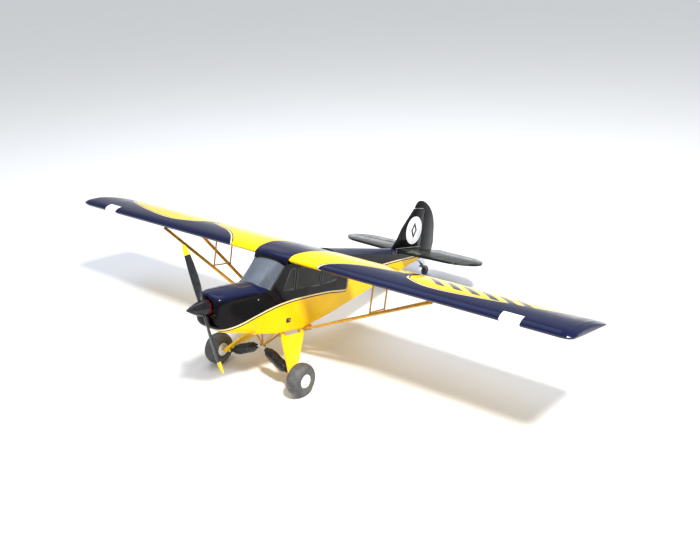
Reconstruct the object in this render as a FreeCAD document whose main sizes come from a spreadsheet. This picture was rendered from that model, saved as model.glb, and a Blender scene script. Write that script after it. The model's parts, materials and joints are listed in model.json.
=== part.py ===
import FreeCAD, Part
import math
import os

from FreeCAD import Vector

# A 1:5 radio-controlled bush plane.  Everything is drawn in the level airframe frame:
# +X to port, +Y aft, +Z up, with the origin on the centre plane below the wing's leading edge line.
# At the end every piece is placed nose-up on its three wheels.

doc = FreeCAD.newDocument("bush_plane")

DIMENSIONS = {
    "wing_span": 2160, "wing_root": 78, "wing_chord": 302, "wing_height": -12, "wing_skin": 1.6,
    "section_thickness": 0.125, "section_camber": 0.028, "tip_start": 1042,
    "spar_station": 80, "joiner_radius": 9.5, "joiner_half_length": 250,
    "surface_chord": 66, "cove_gap": 1.0, "surface_gap": 1.0,
    "flap_inboard": 112, "flap_outboard": 536, "aileron_inboard": 600, "aileron_outboard": 1008,
    "light_inboard": 860, "light_outboard": 924, "light_depth": 30,
    "cabin_half_width": 66, "skin": 2.2, "sill_height": -122,
    "cowl_front": -286, "firewall_station": -112, "firewall_thickness": 6, "tail_end": 946,
    "thrust_height": -162, "spinner_radius": 28, "spinner_length": 79, "backplate_thickness": 3,
    "prop_radius": 216, "prop_hub_radius": 14, "prop_hub_length": 16, "prop_clock": 31,
    "shaft_radius": 4, "rotor_radius": 25, "stator_radius": 21.5, "mount_station": -186,
    "wheel_track_half": 197, "wheel_station": -12, "wheel_height": -396,
    "wheel_radius": 58, "tyre_width": 52, "hub_radius": 24, "hub_width": 46, "axle_radius": 4,
    "running_gap": 0.08,
    "gear_pivot_side": 61, "gear_pivot_height": -283, "leg_thickness": 7,
    "shock_station": -4, "apex_side": 8, "apex_height": -335, "tube_radius": 3, "cover_radius": 19,
    "strut_foot_side": 78, "strut_foot_station": 152, "strut_foot_height": -271,
    "strut_head_side": 612, "front_spar": 50, "rear_spar": 190, "strut_width": 18, "strut_depth": 9,
    "jury_share": 0.54,
    "plate": 9, "stab_height": -45.5, "elevator_hinge": 912, "rudder_hinge": 950,
    "tail_arm": 17, "rudder_arm": 26, "elevator_servo_station": 728, "rudder_servo_station": 808,
    "rudder_arm_height": -72,
    "tailwheel_station": 1029, "tailwheel_height": -150, "tailwheel_radius": 22, "tailwheel_width": 14,
    "caster_trail": 26,
}

sheet = doc.addObject("Spreadsheet::Sheet", "dims")
for row, (alias, value) in enumerate(DIMENSIONS.items(), start=1):
    sheet.set(f"A{row}", alias)
    sheet.set(f"B{row}", str(value))
    sheet.setAlias(f"B{row}", alias)
doc.recompute()


def dim(alias):
    """The value of one cell of the sheet."""
    return float(sheet.get(alias))


# ---------------------------------------------------------------- helpers

NODES = {}


def node(label, part):
    """Name one physical piece."""
    part.Label = label
    NODES[label] = part
    return part


def bind(part, name, value):
    """Set a property from a number, or tie it to the sheet when the value is an expression."""
    if isinstance(value, str):
        part.setExpression(name, value)
    else:
        setattr(part, name, value)


def frame_at(origin, x_axis, y_axis):
    """A placement whose local X and Y run along the two given directions."""
    x_axis = Vector(x_axis).normalize()
    z_axis = x_axis.cross(y_axis).normalize()
    y_axis = z_axis.cross(x_axis)
    return FreeCAD.Placement(origin, FreeCAD.Rotation(x_axis, y_axis, z_axis, "XZY"))


def along(start, end):
    """A placement at start whose local Z points to end, and the distance between them."""
    reach = end - start
    return FreeCAD.Placement(start, FreeCAD.Rotation(Vector(0, 0, 1), reach)), reach.Length


def box(name, low, high):
    part = doc.addObject("Part::Box", name)
    part.Length = high[0] - low[0]
    part.Width = high[1] - low[1]
    part.Height = high[2] - low[2]
    part.Placement.Base = Vector(*low)
    return part


def rod(name, start, end, radius):
    """A round bar or tube between two points."""
    part = doc.addObject("Part::Cylinder", name)
    where, length = along(start, end)
    bind(part, "Radius", radius)
    part.Height = length
    part.Placement = where
    return part


def fuse(name, parts):
    part = doc.addObject("Part::MultiFuse", name)
    part.Shapes = parts
    return part


def cut(name, base, tools):
    part = doc.addObject("Part::Cut", name)
    part.Base = base
    part.Tool = tools[0] if len(tools) == 1 else fuse(name + "_tools", tools)
    return part


def common(name, base, tool):
    part = doc.addObject("Part::Common", name)
    part.Base = base
    part.Tool = tool
    return part


def group(name, parts):
    """Separate identical solids that share one node."""
    part = doc.addObject("Part::Compound", name)
    part.Links = parts
    return part


def mirrored(name, source):
    """The starboard twin of a port piece."""
    part = doc.addObject("Part::Mirroring", name)
    part.Source = source
    part.Base = Vector(0, 0, 0)
    part.Normal = Vector(1, 0, 0)
    return part


def both_sides(label, part):
    """Name a port piece and its starboard twin."""
    node(label + "_left", part)
    node(label + "_right", mirrored(label + "_starboard", part))


def draw(sketch, outline):
    """Draw a closed outline: a start point, then lines, arcs (middle, end) and splines (points)."""
    first = Vector(*outline[0], 0)
    here = first
    for step in outline[1:] + [("line", outline[0])]:
        if step[0] == "line":
            end = Vector(*step[1], 0)
            if (end - here).Length > 1e-6:
                sketch.addGeometry(Part.LineSegment(here, end), False)
        elif step[0] == "arc":
            end = Vector(*step[2], 0)
            sketch.addGeometry(Part.Arc(here, Vector(*step[1], 0), end), False)
        else:
            points = [Vector(*point, 0) for point in step[1]]
            curve = Part.BSplineCurve()
            curve.interpolate([here] + points)
            sketch.addGeometry(curve, False)
            end = points[-1]
        here = end


def new_body(name):
    return doc.addObject("PartDesign::Body", name)


def sketch_on(body, role, offset, outline):
    """A sketch on one of the body's own origin planes, moved along that plane's normal."""
    sketch = body.newObject("Sketcher::SketchObject", body.Name + "_sketch")
    plane = [feature for feature in body.Origin.OriginFeatures if feature.Role == role][0]
    sketch.AttachmentSupport = [(plane, "")]
    sketch.MapMode = "FlatFace"
    sketch.AttachmentOffset = FreeCAD.Placement(Vector(0, 0, offset), FreeCAD.Rotation())
    draw(sketch, outline)
    return sketch


def pad(name, role, offset, outline, length, midplane=False):
    """An extruded outline.  The planes' normals are +Z for XY, -Y for XZ and +X for YZ."""
    body = new_body(name)
    feature = body.newObject("PartDesign::Pad", name + "_pad")
    feature.Profile = sketch_on(body, role, offset, outline)
    bind(feature, "Length", length)
    feature.Midplane = midplane
    body.Tip = feature
    return body


def loft(name, role, sections, ruled=True):
    """A solid through outlines, each given as (offset along the plane's normal, outline)."""
    body = new_body(name)
    sketches = [sketch_on(body, role, offset, outline) for offset, outline in sections]
    feature = body.newObject("PartDesign::AdditiveLoft", name + "_loft")
    feature.Profile = sketches[0]
    feature.Sections = sketches[1:]
    feature.Ruled = ruled
    body.Tip = feature
    return body


def turned(name, outline):
    """A solid of revolution about local Z; the outline is drawn as (radius, height)."""
    body = new_body(name)
    sketch = sketch_on(body, "XZ_Plane", 0, outline)
    feature = body.newObject("PartDesign::Revolution", name + "_turn")
    feature.Profile = sketch
    feature.ReferenceAxis = (sketch, ["V_Axis"])
    feature.Angle = 360
    body.Tip = feature
    return body


ABOUT_X = FreeCAD.Rotation(Vector(0, 1, 0), 90)
FORWARD = FreeCAD.Rotation(Vector(1, 0, 0), 90)


# ---------------------------------------------------------------- wing

CHORD = dim("wing_chord")
HINGE_Y = CHORD - dim("surface_chord")
SECTION_STEPS = 9


def section_heights(share):
    """Heights of the wing section's top and bottom at a share of the chord, per unit of chord."""
    thickness = dim("section_thickness")
    half = 5 * thickness * (0.2969 * math.sqrt(share) - 0.126 * share - 0.3516 * share ** 2
                            + 0.2843 * share ** 3 - 0.1015 * share ** 4)
    crest = 0.4
    if share < crest:
        middle = dim("section_camber") * (2 * share / crest - (share / crest) ** 2)
    else:
        rest = (1 - share) / (1 - crest)
        middle = dim("section_camber") * (2 * rest - rest ** 2)
    return middle + half, middle - half


def wing_outline(lead=0.0, trail=0.0, slimness=1.0):
    """The wing section between two setbacks, with its thickness scaled by slimness."""
    chord = CHORD - lead - trail
    centre = dim("wing_height") + dim("section_camber") * CHORD * 0.5 * (1 - slimness)
    upper = []
    lower = []
    for step in range(SECTION_STEPS + 1):
        share = (1 - math.cos(math.pi * step / SECTION_STEPS)) / 2
        top, bottom = section_heights(share)
        upper.append((lead + share * chord, centre + top * CHORD * slimness))
        lower.append((lead + share * chord, centre + bottom * CHORD * slimness))
    lower[0] = upper[0]
    return [upper[-1], ("spline", upper[-2::-1]), ("spline", lower[1:])]


def wing_hollow_outline():
    """The hollow inside the skin, from just behind the nose to the rear spar web."""
    skin = dim("wing_skin")
    upper = []
    lower = []
    front = 0.03
    back = (HINGE_Y - 14) / CHORD
    for step in range(SECTION_STEPS + 1):
        share = front + (back - front) * (1 - math.cos(math.pi * step / SECTION_STEPS)) / 2
        top, bottom = section_heights(share)
        upper.append((share * CHORD, dim("wing_height") + top * CHORD - skin))
        lower.append((share * CHORD, dim("wing_height") + bottom * CHORD + skin))
    return [upper[-1], ("spline", upper[-2::-1]), ("line", lower[0]), ("spline", lower[1:])]


HINGE_TOP, HINGE_BOTTOM = section_heights(HINGE_Y / CHORD)
HINGE_Z = dim("wing_height") + (HINGE_TOP + HINGE_BOTTOM) * CHORD / 2
NOSE_RADIUS = (HINGE_TOP - HINGE_BOTTOM) * CHORD / 2 - 0.3
EDGE_TOP = dim("wing_height") + section_heights(1.0)[0] * CHORD
EDGE_BOTTOM = dim("wing_height") + section_heights(1.0)[1] * CHORD
HINGE_WIDTH = 12
NOTCH_WIDTH = 15
DRIVE_RADIUS = 2.5


def barrel_hinge(name, centre, axis, leaf_way):
    """A pinned hinge point: barrel and pin on the hinge line, with a leaf set into the fixed side."""
    axis = Vector(*axis)
    middle = Vector(*centre)
    half = axis * (HINGE_WIDTH / 2)
    pin = axis * (HINGE_WIDTH / 2 + 4)
    barrel = rod(name + "_barrel", middle - half, middle + half, 2.2)
    wire = rod(name + "_pin", middle - pin, middle + pin, 1.0)
    leaf = doc.addObject("Part::Box", name + "_leaf")
    leaf.Length = 16
    leaf.Width = HINGE_WIDTH
    leaf.Height = 1.6
    leaf.Placement = frame_at(middle - half, Vector(*leaf_way), axis)
    leaf.Placement.Base = leaf.Placement.Base - leaf.Placement.Rotation.multVec(Vector(0, 0, 0.8))
    return fuse(name, [barrel, wire, leaf])


def hinge_clearance(name, centre, axis, nose):
    """What a moving surface loses for one hinge: a notch in its nose and a bore for the pin."""
    axis = Vector(*axis)
    middle = Vector(*centre)
    half = axis * (NOTCH_WIDTH / 2)
    pin = axis * (HINGE_WIDTH / 2 + 4.5)
    notch = rod(name + "_notch", middle - half, middle + half, nose + 0.5)
    bore = rod(name + "_bore", middle - pin, middle + pin, 1.0 + dim("running_gap"))
    return [notch, bore]


def hinge_stations(inboard, outboard, count=3):
    margin = 40
    return [inboard + margin + (outboard - inboard - 2 * margin) * i / (count - 1) for i in range(count)]


def surface_outline():
    """A round nose about the hinge line, running out to the wing's trailing edge."""
    slope_top = math.atan2(HINGE_Z + NOSE_RADIUS - EDGE_TOP, CHORD - HINGE_Y)
    slope_bottom = math.atan2(EDGE_BOTTOM - HINGE_Z + NOSE_RADIUS, CHORD - HINGE_Y)
    top = (HINGE_Y + NOSE_RADIUS * math.sin(slope_top), HINGE_Z + NOSE_RADIUS * math.cos(slope_top))
    bottom = (HINGE_Y + NOSE_RADIUS * math.sin(slope_bottom),
              HINGE_Z - NOSE_RADIUS * math.cos(slope_bottom))
    return [(CHORD, EDGE_TOP), ("line", top), ("arc", (HINGE_Y - NOSE_RADIUS, HINGE_Z), bottom),
            ("line", (CHORD, EDGE_BOTTOM))]


def wing_surface(name, inboard, outboard, drive_from, drive_to):
    """A port flap or aileron, with the stub that its servo turns."""
    gap = dim("surface_gap")
    blade = pad(name + "_blade", "YZ_Plane", inboard + gap, surface_outline(),
                outboard - inboard - 2 * gap)
    losses = []
    for index, station in enumerate(hinge_stations(inboard, outboard)):
        losses += hinge_clearance(f"{name}_hinge{index}", (station, HINGE_Y, HINGE_Z), (1, 0, 0),
                                  NOSE_RADIUS)
    stub = rod(name + "_stub", Vector(drive_from, HINGE_Y, HINGE_Z), Vector(drive_to, HINGE_Y, HINGE_Z),
               DRIVE_RADIUS)
    return fuse(name + "_whole", [cut(name + "_shape", blade, losses), stub])


def surface_bay(name, inboard, outboard):
    """The space that a flap or aileron takes out of the wing."""
    cove = rod(name + "_cove", Vector(inboard, HINGE_Y, HINGE_Z), Vector(outboard, HINGE_Y, HINGE_Z),
               NOSE_RADIUS + dim("cove_gap"))
    back = box(name + "_back", (inboard, HINGE_Y, HINGE_Z - 30), (outboard, CHORD + 10, HINGE_Z + 30))
    return [cove, back]


SERVO_LENGTH = 30
SERVO_WIDTH = 12
SERVO_HEIGHT = 24
SERVO_OUTPUT = 7


def wing_servo(name, face, outward):
    """A flat servo whose output lies on the hinge line, beside the surface that it turns."""
    sign = 1 if outward else -1
    low, high = sorted((face, face - sign * SERVO_HEIGHT))
    rear = HINGE_Y + SERVO_OUTPUT
    case = box(name + "_case", (low, rear - SERVO_LENGTH, HINGE_Z - SERVO_WIDTH / 2),
               (high, rear, HINGE_Z + SERVO_WIDTH / 2))
    boss = rod(name + "_boss", Vector(face, HINGE_Y, HINGE_Z), Vector(face + sign * 2, HINGE_Y, HINGE_Z), 4)
    return fuse(name, [case, boss])


def make_wings():
    tip = dim("wing_span") / 2
    start = dim("tip_start")
    run = tip - start
    stations = [(dim("wing_root"), 0, 0, 1), (start, 0, 0, 1), (start + run * 0.5, 3, 8, 0.93),
                (start + run * 0.82, 9, 22, 0.72), (start + run * 0.96, 17, 38, 0.42),
                (tip, 26, 52, 0.2)]
    sections = [(x, wing_outline(lead, trail, slim)) for x, lead, trail, slim in stations]
    solid = loft("wing_solid", "YZ_Plane", sections)
    rib = 3
    hollow = pad("wing_hollow", "YZ_Plane", dim("wing_root") + rib, wing_hollow_outline(),
                 start - dim("wing_root") - 2 * rib)
    flap = (dim("flap_inboard"), dim("flap_outboard"))
    aileron = (dim("aileron_inboard"), dim("aileron_outboard"))
    light = (dim("light_inboard"), dim("light_outboard"))
    tools = [hollow] + surface_bay("flap_bay", *flap) + surface_bay("aileron_bay", *aileron)
    servos = [wing_servo("flap_servo", flap[1] + 4, False),
              wing_servo("aileron_servo", aileron[0] - 4, True)]
    rear = HINGE_Y + SERVO_OUTPUT + 1
    bay_half = SERVO_WIDTH / 2 + 0.3
    pocket = box("wing_servo_bay", (flap[1] + 3.5, rear - SERVO_LENGTH - 2, HINGE_Z - bay_half),
                 (aileron[0] - 3.5, rear, HINGE_Z + bay_half))
    bores = [rod("flap_drive_bore", Vector(flap[1] - 1, HINGE_Y, HINGE_Z),
                 Vector(flap[1] + 12, HINGE_Y, HINGE_Z), 4.6),
             rod("aileron_drive_bore", Vector(aileron[0] - 12, HINGE_Y, HINGE_Z),
                 Vector(aileron[0] + 1, HINGE_Y, HINGE_Z), 4.6)]
    lamp = box("light_bay", (light[0], -5, dim("wing_height") - 40),
               (light[1], dim("light_depth"), dim("wing_height") + 40))
    reach = dim("joiner_half_length")
    joiner_line = (dim("spar_station"), dim("wing_height") + 6)
    joint = rod("joiner_bore", Vector(0, *joiner_line), Vector(reach, *joiner_line), "dims.joiner_radius")
    hinges = []
    for label, span in (("flap", flap), ("aileron", aileron)):
        for index, station in enumerate(hinge_stations(*span)):
            hinges.append(barrel_hinge(f"{label}_hinge_{index}", (station, HINGE_Y, HINGE_Z), (1, 0, 0),
                                       (0, -1, 0)))
    both_sides("wing", cut("wing_panel", solid, tools + [pocket, lamp, joint] + bores + hinges))
    lens_block = box("lens_block", (light[0], -5, dim("wing_height") - 40),
                     (light[1], dim("light_depth"), dim("wing_height") + 40))
    lens = common("lens_port", solid, lens_block)
    node("landing_lights", group("lenses", [lens, mirrored("lens_starboard", lens)]))
    both_sides("flap", wing_surface("flap", *flap, flap[1] - 10, flap[1] + 1.5))
    both_sides("aileron", wing_surface("aileron", *aileron, aileron[0] - 1.5, aileron[0] + 10))
    tube_ends = (Vector(-reach, *joiner_line), Vector(reach, *joiner_line))
    outer = rod("joiner_outer", *tube_ends, "dims.joiner_radius")
    inner = rod("joiner_inner", *tube_ends, "dims.joiner_radius - 1.2")
    node("wing_joiner_tube", cut("joiner_tube", outer, [inner]))
    node("servos", group("servo_set", BODY_SERVOS + servos + [mirrored(servo.Name + "_starboard", servo)
                                                              for servo in servos]))
    node("control_hinges", group("hinge_set", BODY_HINGES + hinges + [
        mirrored(hinge.Name + "_starboard", hinge) for hinge in hinges]))


# ---------------------------------------------------------------- fuselage

CABIN = dim("cabin_half_width")
SILL = dim("sill_height")


def hull_outline(half_width, shoulder, crown, bottom, inset=0.0, corner=9):
    """A cross-section: flat floor, rounded lower corners, straight sides and an arched top."""
    side = half_width - inset
    floor = bottom + inset
    top = crown - inset
    shoulder = shoulder - inset * 0.5
    radius = min(corner, side * 0.6) - min(inset, 1.5)
    sag = radius * (1 - math.sqrt(0.5))
    return [(-side + radius, floor), ("line", (side - radius, floor)),
            ("arc", (side - sag, floor + sag), (side, floor + radius)),
            ("line", (side, shoulder)), ("arc", (0, top), (-side, shoulder)),
            ("line", (-side, floor + radius)),
            ("arc", (-side + sag, floor + sag), (-side + radius, floor))]


# Stations aft of the leading edge: (y, half width, shoulder, crown, bottom)
HULL = [(dim("firewall_station"), CABIN - 1, -117, -97, -262),
        (-84, CABIN, -116, -98, -264),
        (-6, CABIN + 2, -30, -17, -274),
        (130, CABIN + 2, -22, -12, -274),
        (306, CABIN - 6, -18, -6, -237),
        (520, 44, -34, -19, -189),
        (736, 26, -51, -34, -141),
        (dim("tail_end"), 8.5, -58, -50, -94)]

COWL = [(dim("cowl_front"), 36, -134, -123, -216),
        (dim("cowl_front") + 6, 47, -128, -117, -224),
        (dim("cowl_front") + 20, 56, -124, -113, -232),
        (dim("cowl_front") + 44, 62, -121, -108, -241),
        (dim("firewall_station"), CABIN - 1, -117, -97, -262)]


def floor_height(y):
    """Height of the fuselage's flat floor at a station."""
    for near, far in zip(HULL, HULL[1:]):
        if near[0] <= y <= far[0]:
            return near[4] + (far[4] - near[4]) * (y - near[0]) / (far[0] - near[0])
    raise ValueError("no floor at this station")


def hull_loft(name, stations, inset=0.0, corner=9):
    return loft(name, "XZ_Plane", [(-y, hull_outline(half, shoulder, crown, bottom, inset, corner))
                                   for y, half, shoulder, crown, bottom in stations])


def side_opening(name, outline):
    """A prism right through both cabin sides, from an outline drawn as (y, z)."""
    return pad(name, "YZ_Plane", 0, outline, 2 * CABIN + 40, midplane=True)


WINDOWS = {
    "quarter": [(-2, SILL + 2), ("line", (52, SILL + 2)), ("line", (52, -46)), ("line", (26, -46))],
    "main": [(64, SILL + 2), ("line", (196, SILL + 2)), ("line", (196, -46)), ("line", (64, -46))],
    "rear": [(209, SILL + 3), ("line", (296, SILL + 12)), ("line", (290, -88)), ("line", (240, -46)),
             ("line", (209, -46))],
}


HATCH_FRONT = 162
HATCH_REAR = 292
HATCH_SIDE = 40
HATCH_GAP = 0.6
KNUCKLE_RADIUS = 2.2
FIXED_KNUCKLES = [(-38, -28), (-5, 5), (28, 38)]
HATCH_KNUCKLES = [(-27.6, -5.4), (5.4, 27.6)]


def across_hatch(name, spans, radius, margin=0.0):
    """Round pieces on the hatch's hinge line, each over one span of x."""
    y = HATCH_FRONT + HATCH_GAP / 2
    z = floor_height(y)
    return [rod(name, Vector(low - margin, y, z), Vector(high + margin, y, z), radius) for low, high in spans]


def hatch_outline(gap):
    side = HATCH_SIDE - gap
    front = HATCH_FRONT + gap
    rear = HATCH_REAR - gap
    return [(-side, front), ("line", (side, front)), ("line", (side, rear)), ("line", (-side, rear))]


def make_hatch(walls):
    """A panel cut from the floor, hinged across its front edge."""
    block = pad("hatch_block", "XY_Plane", -300, hatch_outline(HATCH_GAP), 100)
    panel = common("hatch_panel", walls, block)
    barrels = across_hatch("hatch_knuckle", HATCH_KNUCKLES, KNUCKLE_RADIUS)
    whole = fuse("hatch_with_knuckles", [panel] + barrels)
    pin_bore = across_hatch("hatch_pin_bore", [(-39, 39)], 0.8 + dim("running_gap"))
    room = across_hatch("hatch_room", FIXED_KNUCKLES, KNUCKLE_RADIUS + 0.4, 0.3)
    node("battery_hatch", cut("hatch", whole, pin_bore + room))


REST_START = 316
REST_END = 510
REST_DEPTH = 0.15


def rest_plane():
    """A block that planes the rear floor flat where a bench stand holds the fuselage."""
    start = Vector(-60, REST_START, floor_height(REST_START) + REST_DEPTH)
    way = Vector(0, REST_END - REST_START, floor_height(REST_END) - floor_height(REST_START))
    block = box("rest_block", (0, 0, 0), (way.Length, 120, 10))
    block.Placement = frame_at(start, way, Vector(1, 0, 0))
    return block


def make_fuselage():
    skin = dim("skin")
    outer = hull_loft("hull_outer", HULL)
    inner_stations = [(y + (skin if y > 900 else 0) * -3, *rest) for y, *rest in HULL]
    inner = hull_loft("hull_inner", inner_stations, skin)
    walls = cut("hull_walls", outer, [inner])
    screen = side_opening("screen_opening", [(-92, -101), ("line", (-66, -113)), ("line", (-10, -34)),
                                             ("line", (-10, 0)), ("line", (-92, -60))])
    panes = [side_opening(f"{name}_window", outline) for name, outline in WINDOWS.items()]
    roof_space = pad("roof_space", "YZ_Plane", 0, wing_outline(), 2 * dim("wing_root"), midplane=True)
    above = box("above_wing", (-90, 4, -14), (90, 302, 40))
    seat = box("stab_seat", (-40, 757, dim("stab_height") - dim("plate") / 2), (40, 1000, 40))
    hatch = pad("hatch_opening", "XY_Plane", -300, hatch_outline(0), 100)
    hatch_hinge = fuse("hatch_hinge", across_hatch("hatch_pin", [(-38, 38)], 0.8)
                       + across_hatch("fixed_knuckle", FIXED_KNUCKLES, KNUCKLE_RADIUS))
    hatch_swing = across_hatch("hatch_swing", HATCH_KNUCKLES, KNUCKLE_RADIUS + 0.4, 0.3)
    slot_centre = Vector(0, dim("rudder_servo_station"), dim("rudder_arm_height"))
    rudder_slot = box("rudder_arm_slot", slot_centre - Vector(40, 16, 2.5), slot_centre + Vector(0, 16, 2.5))
    post = rod("rudder_cove", Vector(0, dim("rudder_hinge"), -120), Vector(0, dim("rudder_hinge"), 0),
               dim("plate") / 2 + 1)
    joiner = rod("joiner_opening", Vector(-90, dim("spar_station"), dim("wing_height") + 6),
                 Vector(90, dim("spar_station"), dim("wing_height") + 6), "dims.joiner_radius")
    servo_centre = Vector(0, dim("elevator_servo_station"), dim("stab_height"))
    servo = box("elevator_servo_opening", servo_centre - Vector(0, 22.2, 8.2),
                servo_centre + Vector(40, 8.2, 4.2))
    tools = [screen, roof_space, above, seat, hatch, rudder_slot, post, joiner, servo,
             doc.getObject("fin_blank"), rest_plane()]
    node("fuselage_shell", cut("fuselage", walls, panes + tools + hatch_swing + BODY_HINGES + [hatch_hinge]))
    BODY_HINGES.append(hatch_hinge)
    make_hatch(walls)
    node("windshield", common("windshield_glass", walls, screen))
    node("cabin_windows", group("window_panes", [common(pane.Name + "_glass", walls, pane)
                                                 for pane in panes]))
    node("firewall", common("firewall_plate", inner, box("firewall_slab",
         (-90, dim("firewall_station"), -300),
         (90, dim("firewall_station") + dim("firewall_thickness"), 0))))
    tray = box("tray_slab", (-90, -80, -206), (90, 150, -203))
    node("radio_tray", common("radio_tray_plate", inner, tray))
    hood_outline = [(-46, SILL - 22), ("line", (46, SILL - 22)), ("line", (46, SILL + 2)),
                    ("arc", (0, SILL + 18), (-46, SILL + 2))]
    node("instrument_panel", pad("panel_hood", "XZ_Plane", 62, hood_outline, 26))


def make_roof():
    """The black centre section between the wing roots, hollow like the wings."""
    root = dim("wing_root")
    solid = pad("roof_solid", "YZ_Plane", 0, wing_outline(), 2 * root - 0.4, midplane=True)
    hollow = pad("roof_hollow", "YZ_Plane", 0, wing_hollow_outline(), 2 * root - 8, midplane=True)
    bore = rod("roof_joiner_bore", Vector(-90, dim("spar_station"), dim("wing_height") + 6),
               Vector(90, dim("spar_station"), dim("wing_height") + 6), "dims.joiner_radius")
    node("roof_fairing", cut("roof", solid, [hollow, bore]))


def make_cabin_tubes():
    """The windshield's centre post and the V brace behind it."""
    foot = Vector(0, -56, -112)
    head = Vector(0, 0, -27)
    post = rod("screen_post", foot, head, 3)
    braces = [rod("brace", head, Vector(side * 52, -40, -118), 2.4) for side in (-1, 1)]
    node("cabin_tubes", fuse("cabin_tube_frame", [post] + braces))


def make_cowl():
    skin = dim("skin")
    front = dim("cowl_front")
    rear = dim("firewall_station")
    outer = hull_loft("cowl_outer", COWL, 0, 26)
    inner_stations = [(y + (skin if y < rear else 0), *rest) for y, *rest in COWL]
    inner = hull_loft("cowl_inner", inner_stations, skin, 26)
    thrust = dim("thrust_height")
    eye = rod("cowl_eye", Vector(0, front - 5, thrust), Vector(0, front + 12, thrust),
              "dims.spinner_radius - 6")
    inlets = [rod("cowl_inlet", Vector(side * 30, front - 5, thrust - 14),
                  Vector(side * 30, front + 14, thrust - 14), 12) for side in (-1, 1)]
    outlet = box("cowl_outlet", (-40, rear - 60, -290), (40, rear - 12, -240))
    screws = [(side, rear - 6, height) for side in (-1, 1) for height in (-139, -226)]
    holes = []
    heads = []
    for side, y, height in screws:
        outward = Vector(side, 0, 0)
        spot = Vector(0, y, height)
        face = spot + outward * (CABIN - 1)
        holes.append(rod("cowl_screw_hole", face - outward * 9, face + outward * 3, 1.6))
        heads.append(fuse("cowl_screw", [rod("screw_shank", face - outward * 7, face, 1.5),
                                         rod("screw_head", face, face + outward * 2, 2.8)]))
    node("cowl", cut("cowl_shell", outer, [inner, eye, outlet] + inlets + holes))
    node("cowl_screws", group("cowl_screw_set", heads))


# ---------------------------------------------------------------- power train

PROP_TURN = FreeCAD.Rotation(Vector(0, 1, 0), -dim("prop_clock"))


def make_power():
    thrust = dim("thrust_height")
    front = dim("cowl_front")
    base = front - 2
    shaft = dim("shaft_radius")
    spinner = dim("spinner_radius")
    plate = dim("backplate_thickness")
    hub = dim("prop_hub_length")
    can = dim("rotor_radius")
    core = dim("stator_radius")
    can_front = 76
    # Heights run forward from the stator's back face.
    back_y = dim("mount_station")
    axis_place = FreeCAD.Placement(Vector(0, back_y, thrust), FORWARD)
    plate_height = back_y - base
    bearing = shaft + dim("running_gap")
    mount = turned("stator_turn", [(bearing, 0), ("line", (can - 2, 0)), ("line", (can - 2, 5)),
                                   ("line", (9, 5)), ("line", (9, 16)), ("line", (core, 16)),
                                   ("line", (core, 60)), ("line", (bearing, 60))])
    mount.Placement = axis_place
    arms = []
    for index in range(4):
        angle = math.radians(45 + 90 * index)
        x = 30 * math.cos(angle)
        z = thrust + 30 * math.sin(angle)
        arms.append(rod("standoff", Vector(x, back_y + 3, z), Vector(x, dim("firewall_station"), z), 3.5))
    cross = [box("cross_arm", (-34, back_y, thrust - 5), (34, back_y + 3, thrust + 5)),
             box("cross_arm", (-5, back_y, thrust - 34), (5, back_y + 3, thrust + 34))]
    ring = turned("mount_ring", [(24, 0), ("line", (36, 0)), ("line", (36, 3)), ("line", (24, 3))])
    ring.Placement = FreeCAD.Placement(Vector(0, back_y + 3, thrust), FORWARD)
    node("motor_stator", fuse("stator", [mount, ring] + arms + cross))
    end = plate_height + plate + hub + 9
    rotor = turned("rotor_turn", [(0, 1), ("line", (shaft, 1)), ("line", (shaft, 64)),
                                  ("line", (core + 1, 64)), ("line", (core + 1, 8)), ("line", (can, 8)),
                                  ("line", (can, can_front - 6)), ("line", (can - 6, can_front)),
                                  ("line", (shaft, can_front)), ("line", (shaft, end)), ("line", (0, end))])
    rotor.Placement = axis_place
    node("motor_rotor", rotor)
    rim = spinner + 0.6
    disc = turned("backplate_turn", [(shaft, 0), ("line", (rim, 0)), ("line", (rim, plate)),
                                     ("line", (shaft, plate))])
    disc.Placement = FreeCAD.Placement(Vector(0, base, thrust), FORWARD)
    node("spinner_backplate", disc)
    length = dim("spinner_length")
    wall = 1.8
    tip = 1.5
    hollow = spinner - wall
    cone = turned("spinner_turn", [(spinner, 0), ("arc", (spinner * 0.6, length * 0.56), (tip, length)),
                                   ("line", (0, length)), ("line", (0, length - 8)),
                                   ("line", (tip, length - 8)),
                                   ("arc", (hollow * 0.57, length * 0.52), (hollow, 0))])
    cone.Placement = FreeCAD.Placement(Vector(0, base - plate, thrust), FORWARD)
    slot = box("blade_slot", (-14, base - plate - hub - 3, -60), (14, base - plate + 1, 60))
    slot.Placement = FreeCAD.Placement(Vector(0, 0, thrust), PROP_TURN) * slot.Placement
    node("spinner", cut("spinner_shell", cone, [slot]))
    corners = [(7 * math.cos(math.radians(60 * k)), 7 * math.sin(math.radians(60 * k))) for k in range(6)]
    nut = pad("nut_pad", "XY_Plane", 0, [corners[0]] + [("line", corner) for corner in corners[1:]], 6)
    nut.Placement = FreeCAD.Placement(Vector(0, base - plate - hub, thrust), FORWARD)
    bore = rod("nut_bore", Vector(0, base, thrust), Vector(0, base - 60, thrust), "dims.shaft_radius")
    node("prop_nut", cut("nut", nut, [bore]))
    make_propeller(Vector(0, base - plate - hub / 2, thrust))


# Blade stations: (share of radius, chord, thickness, pitch angle, sweep of the mid-chord)
BLADE = [(0.05, 18, 11, 38, 0), (0.16, 21, 8, 34, 1), (0.36, 28, 5.4, 24, 3), (0.62, 29, 3.8, 16, 2),
         (0.84, 23, 2.8, 12, -1), (0.95, 15, 2, 10, -4), (1.0, 6, 1.2, 10, -7)]


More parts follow.
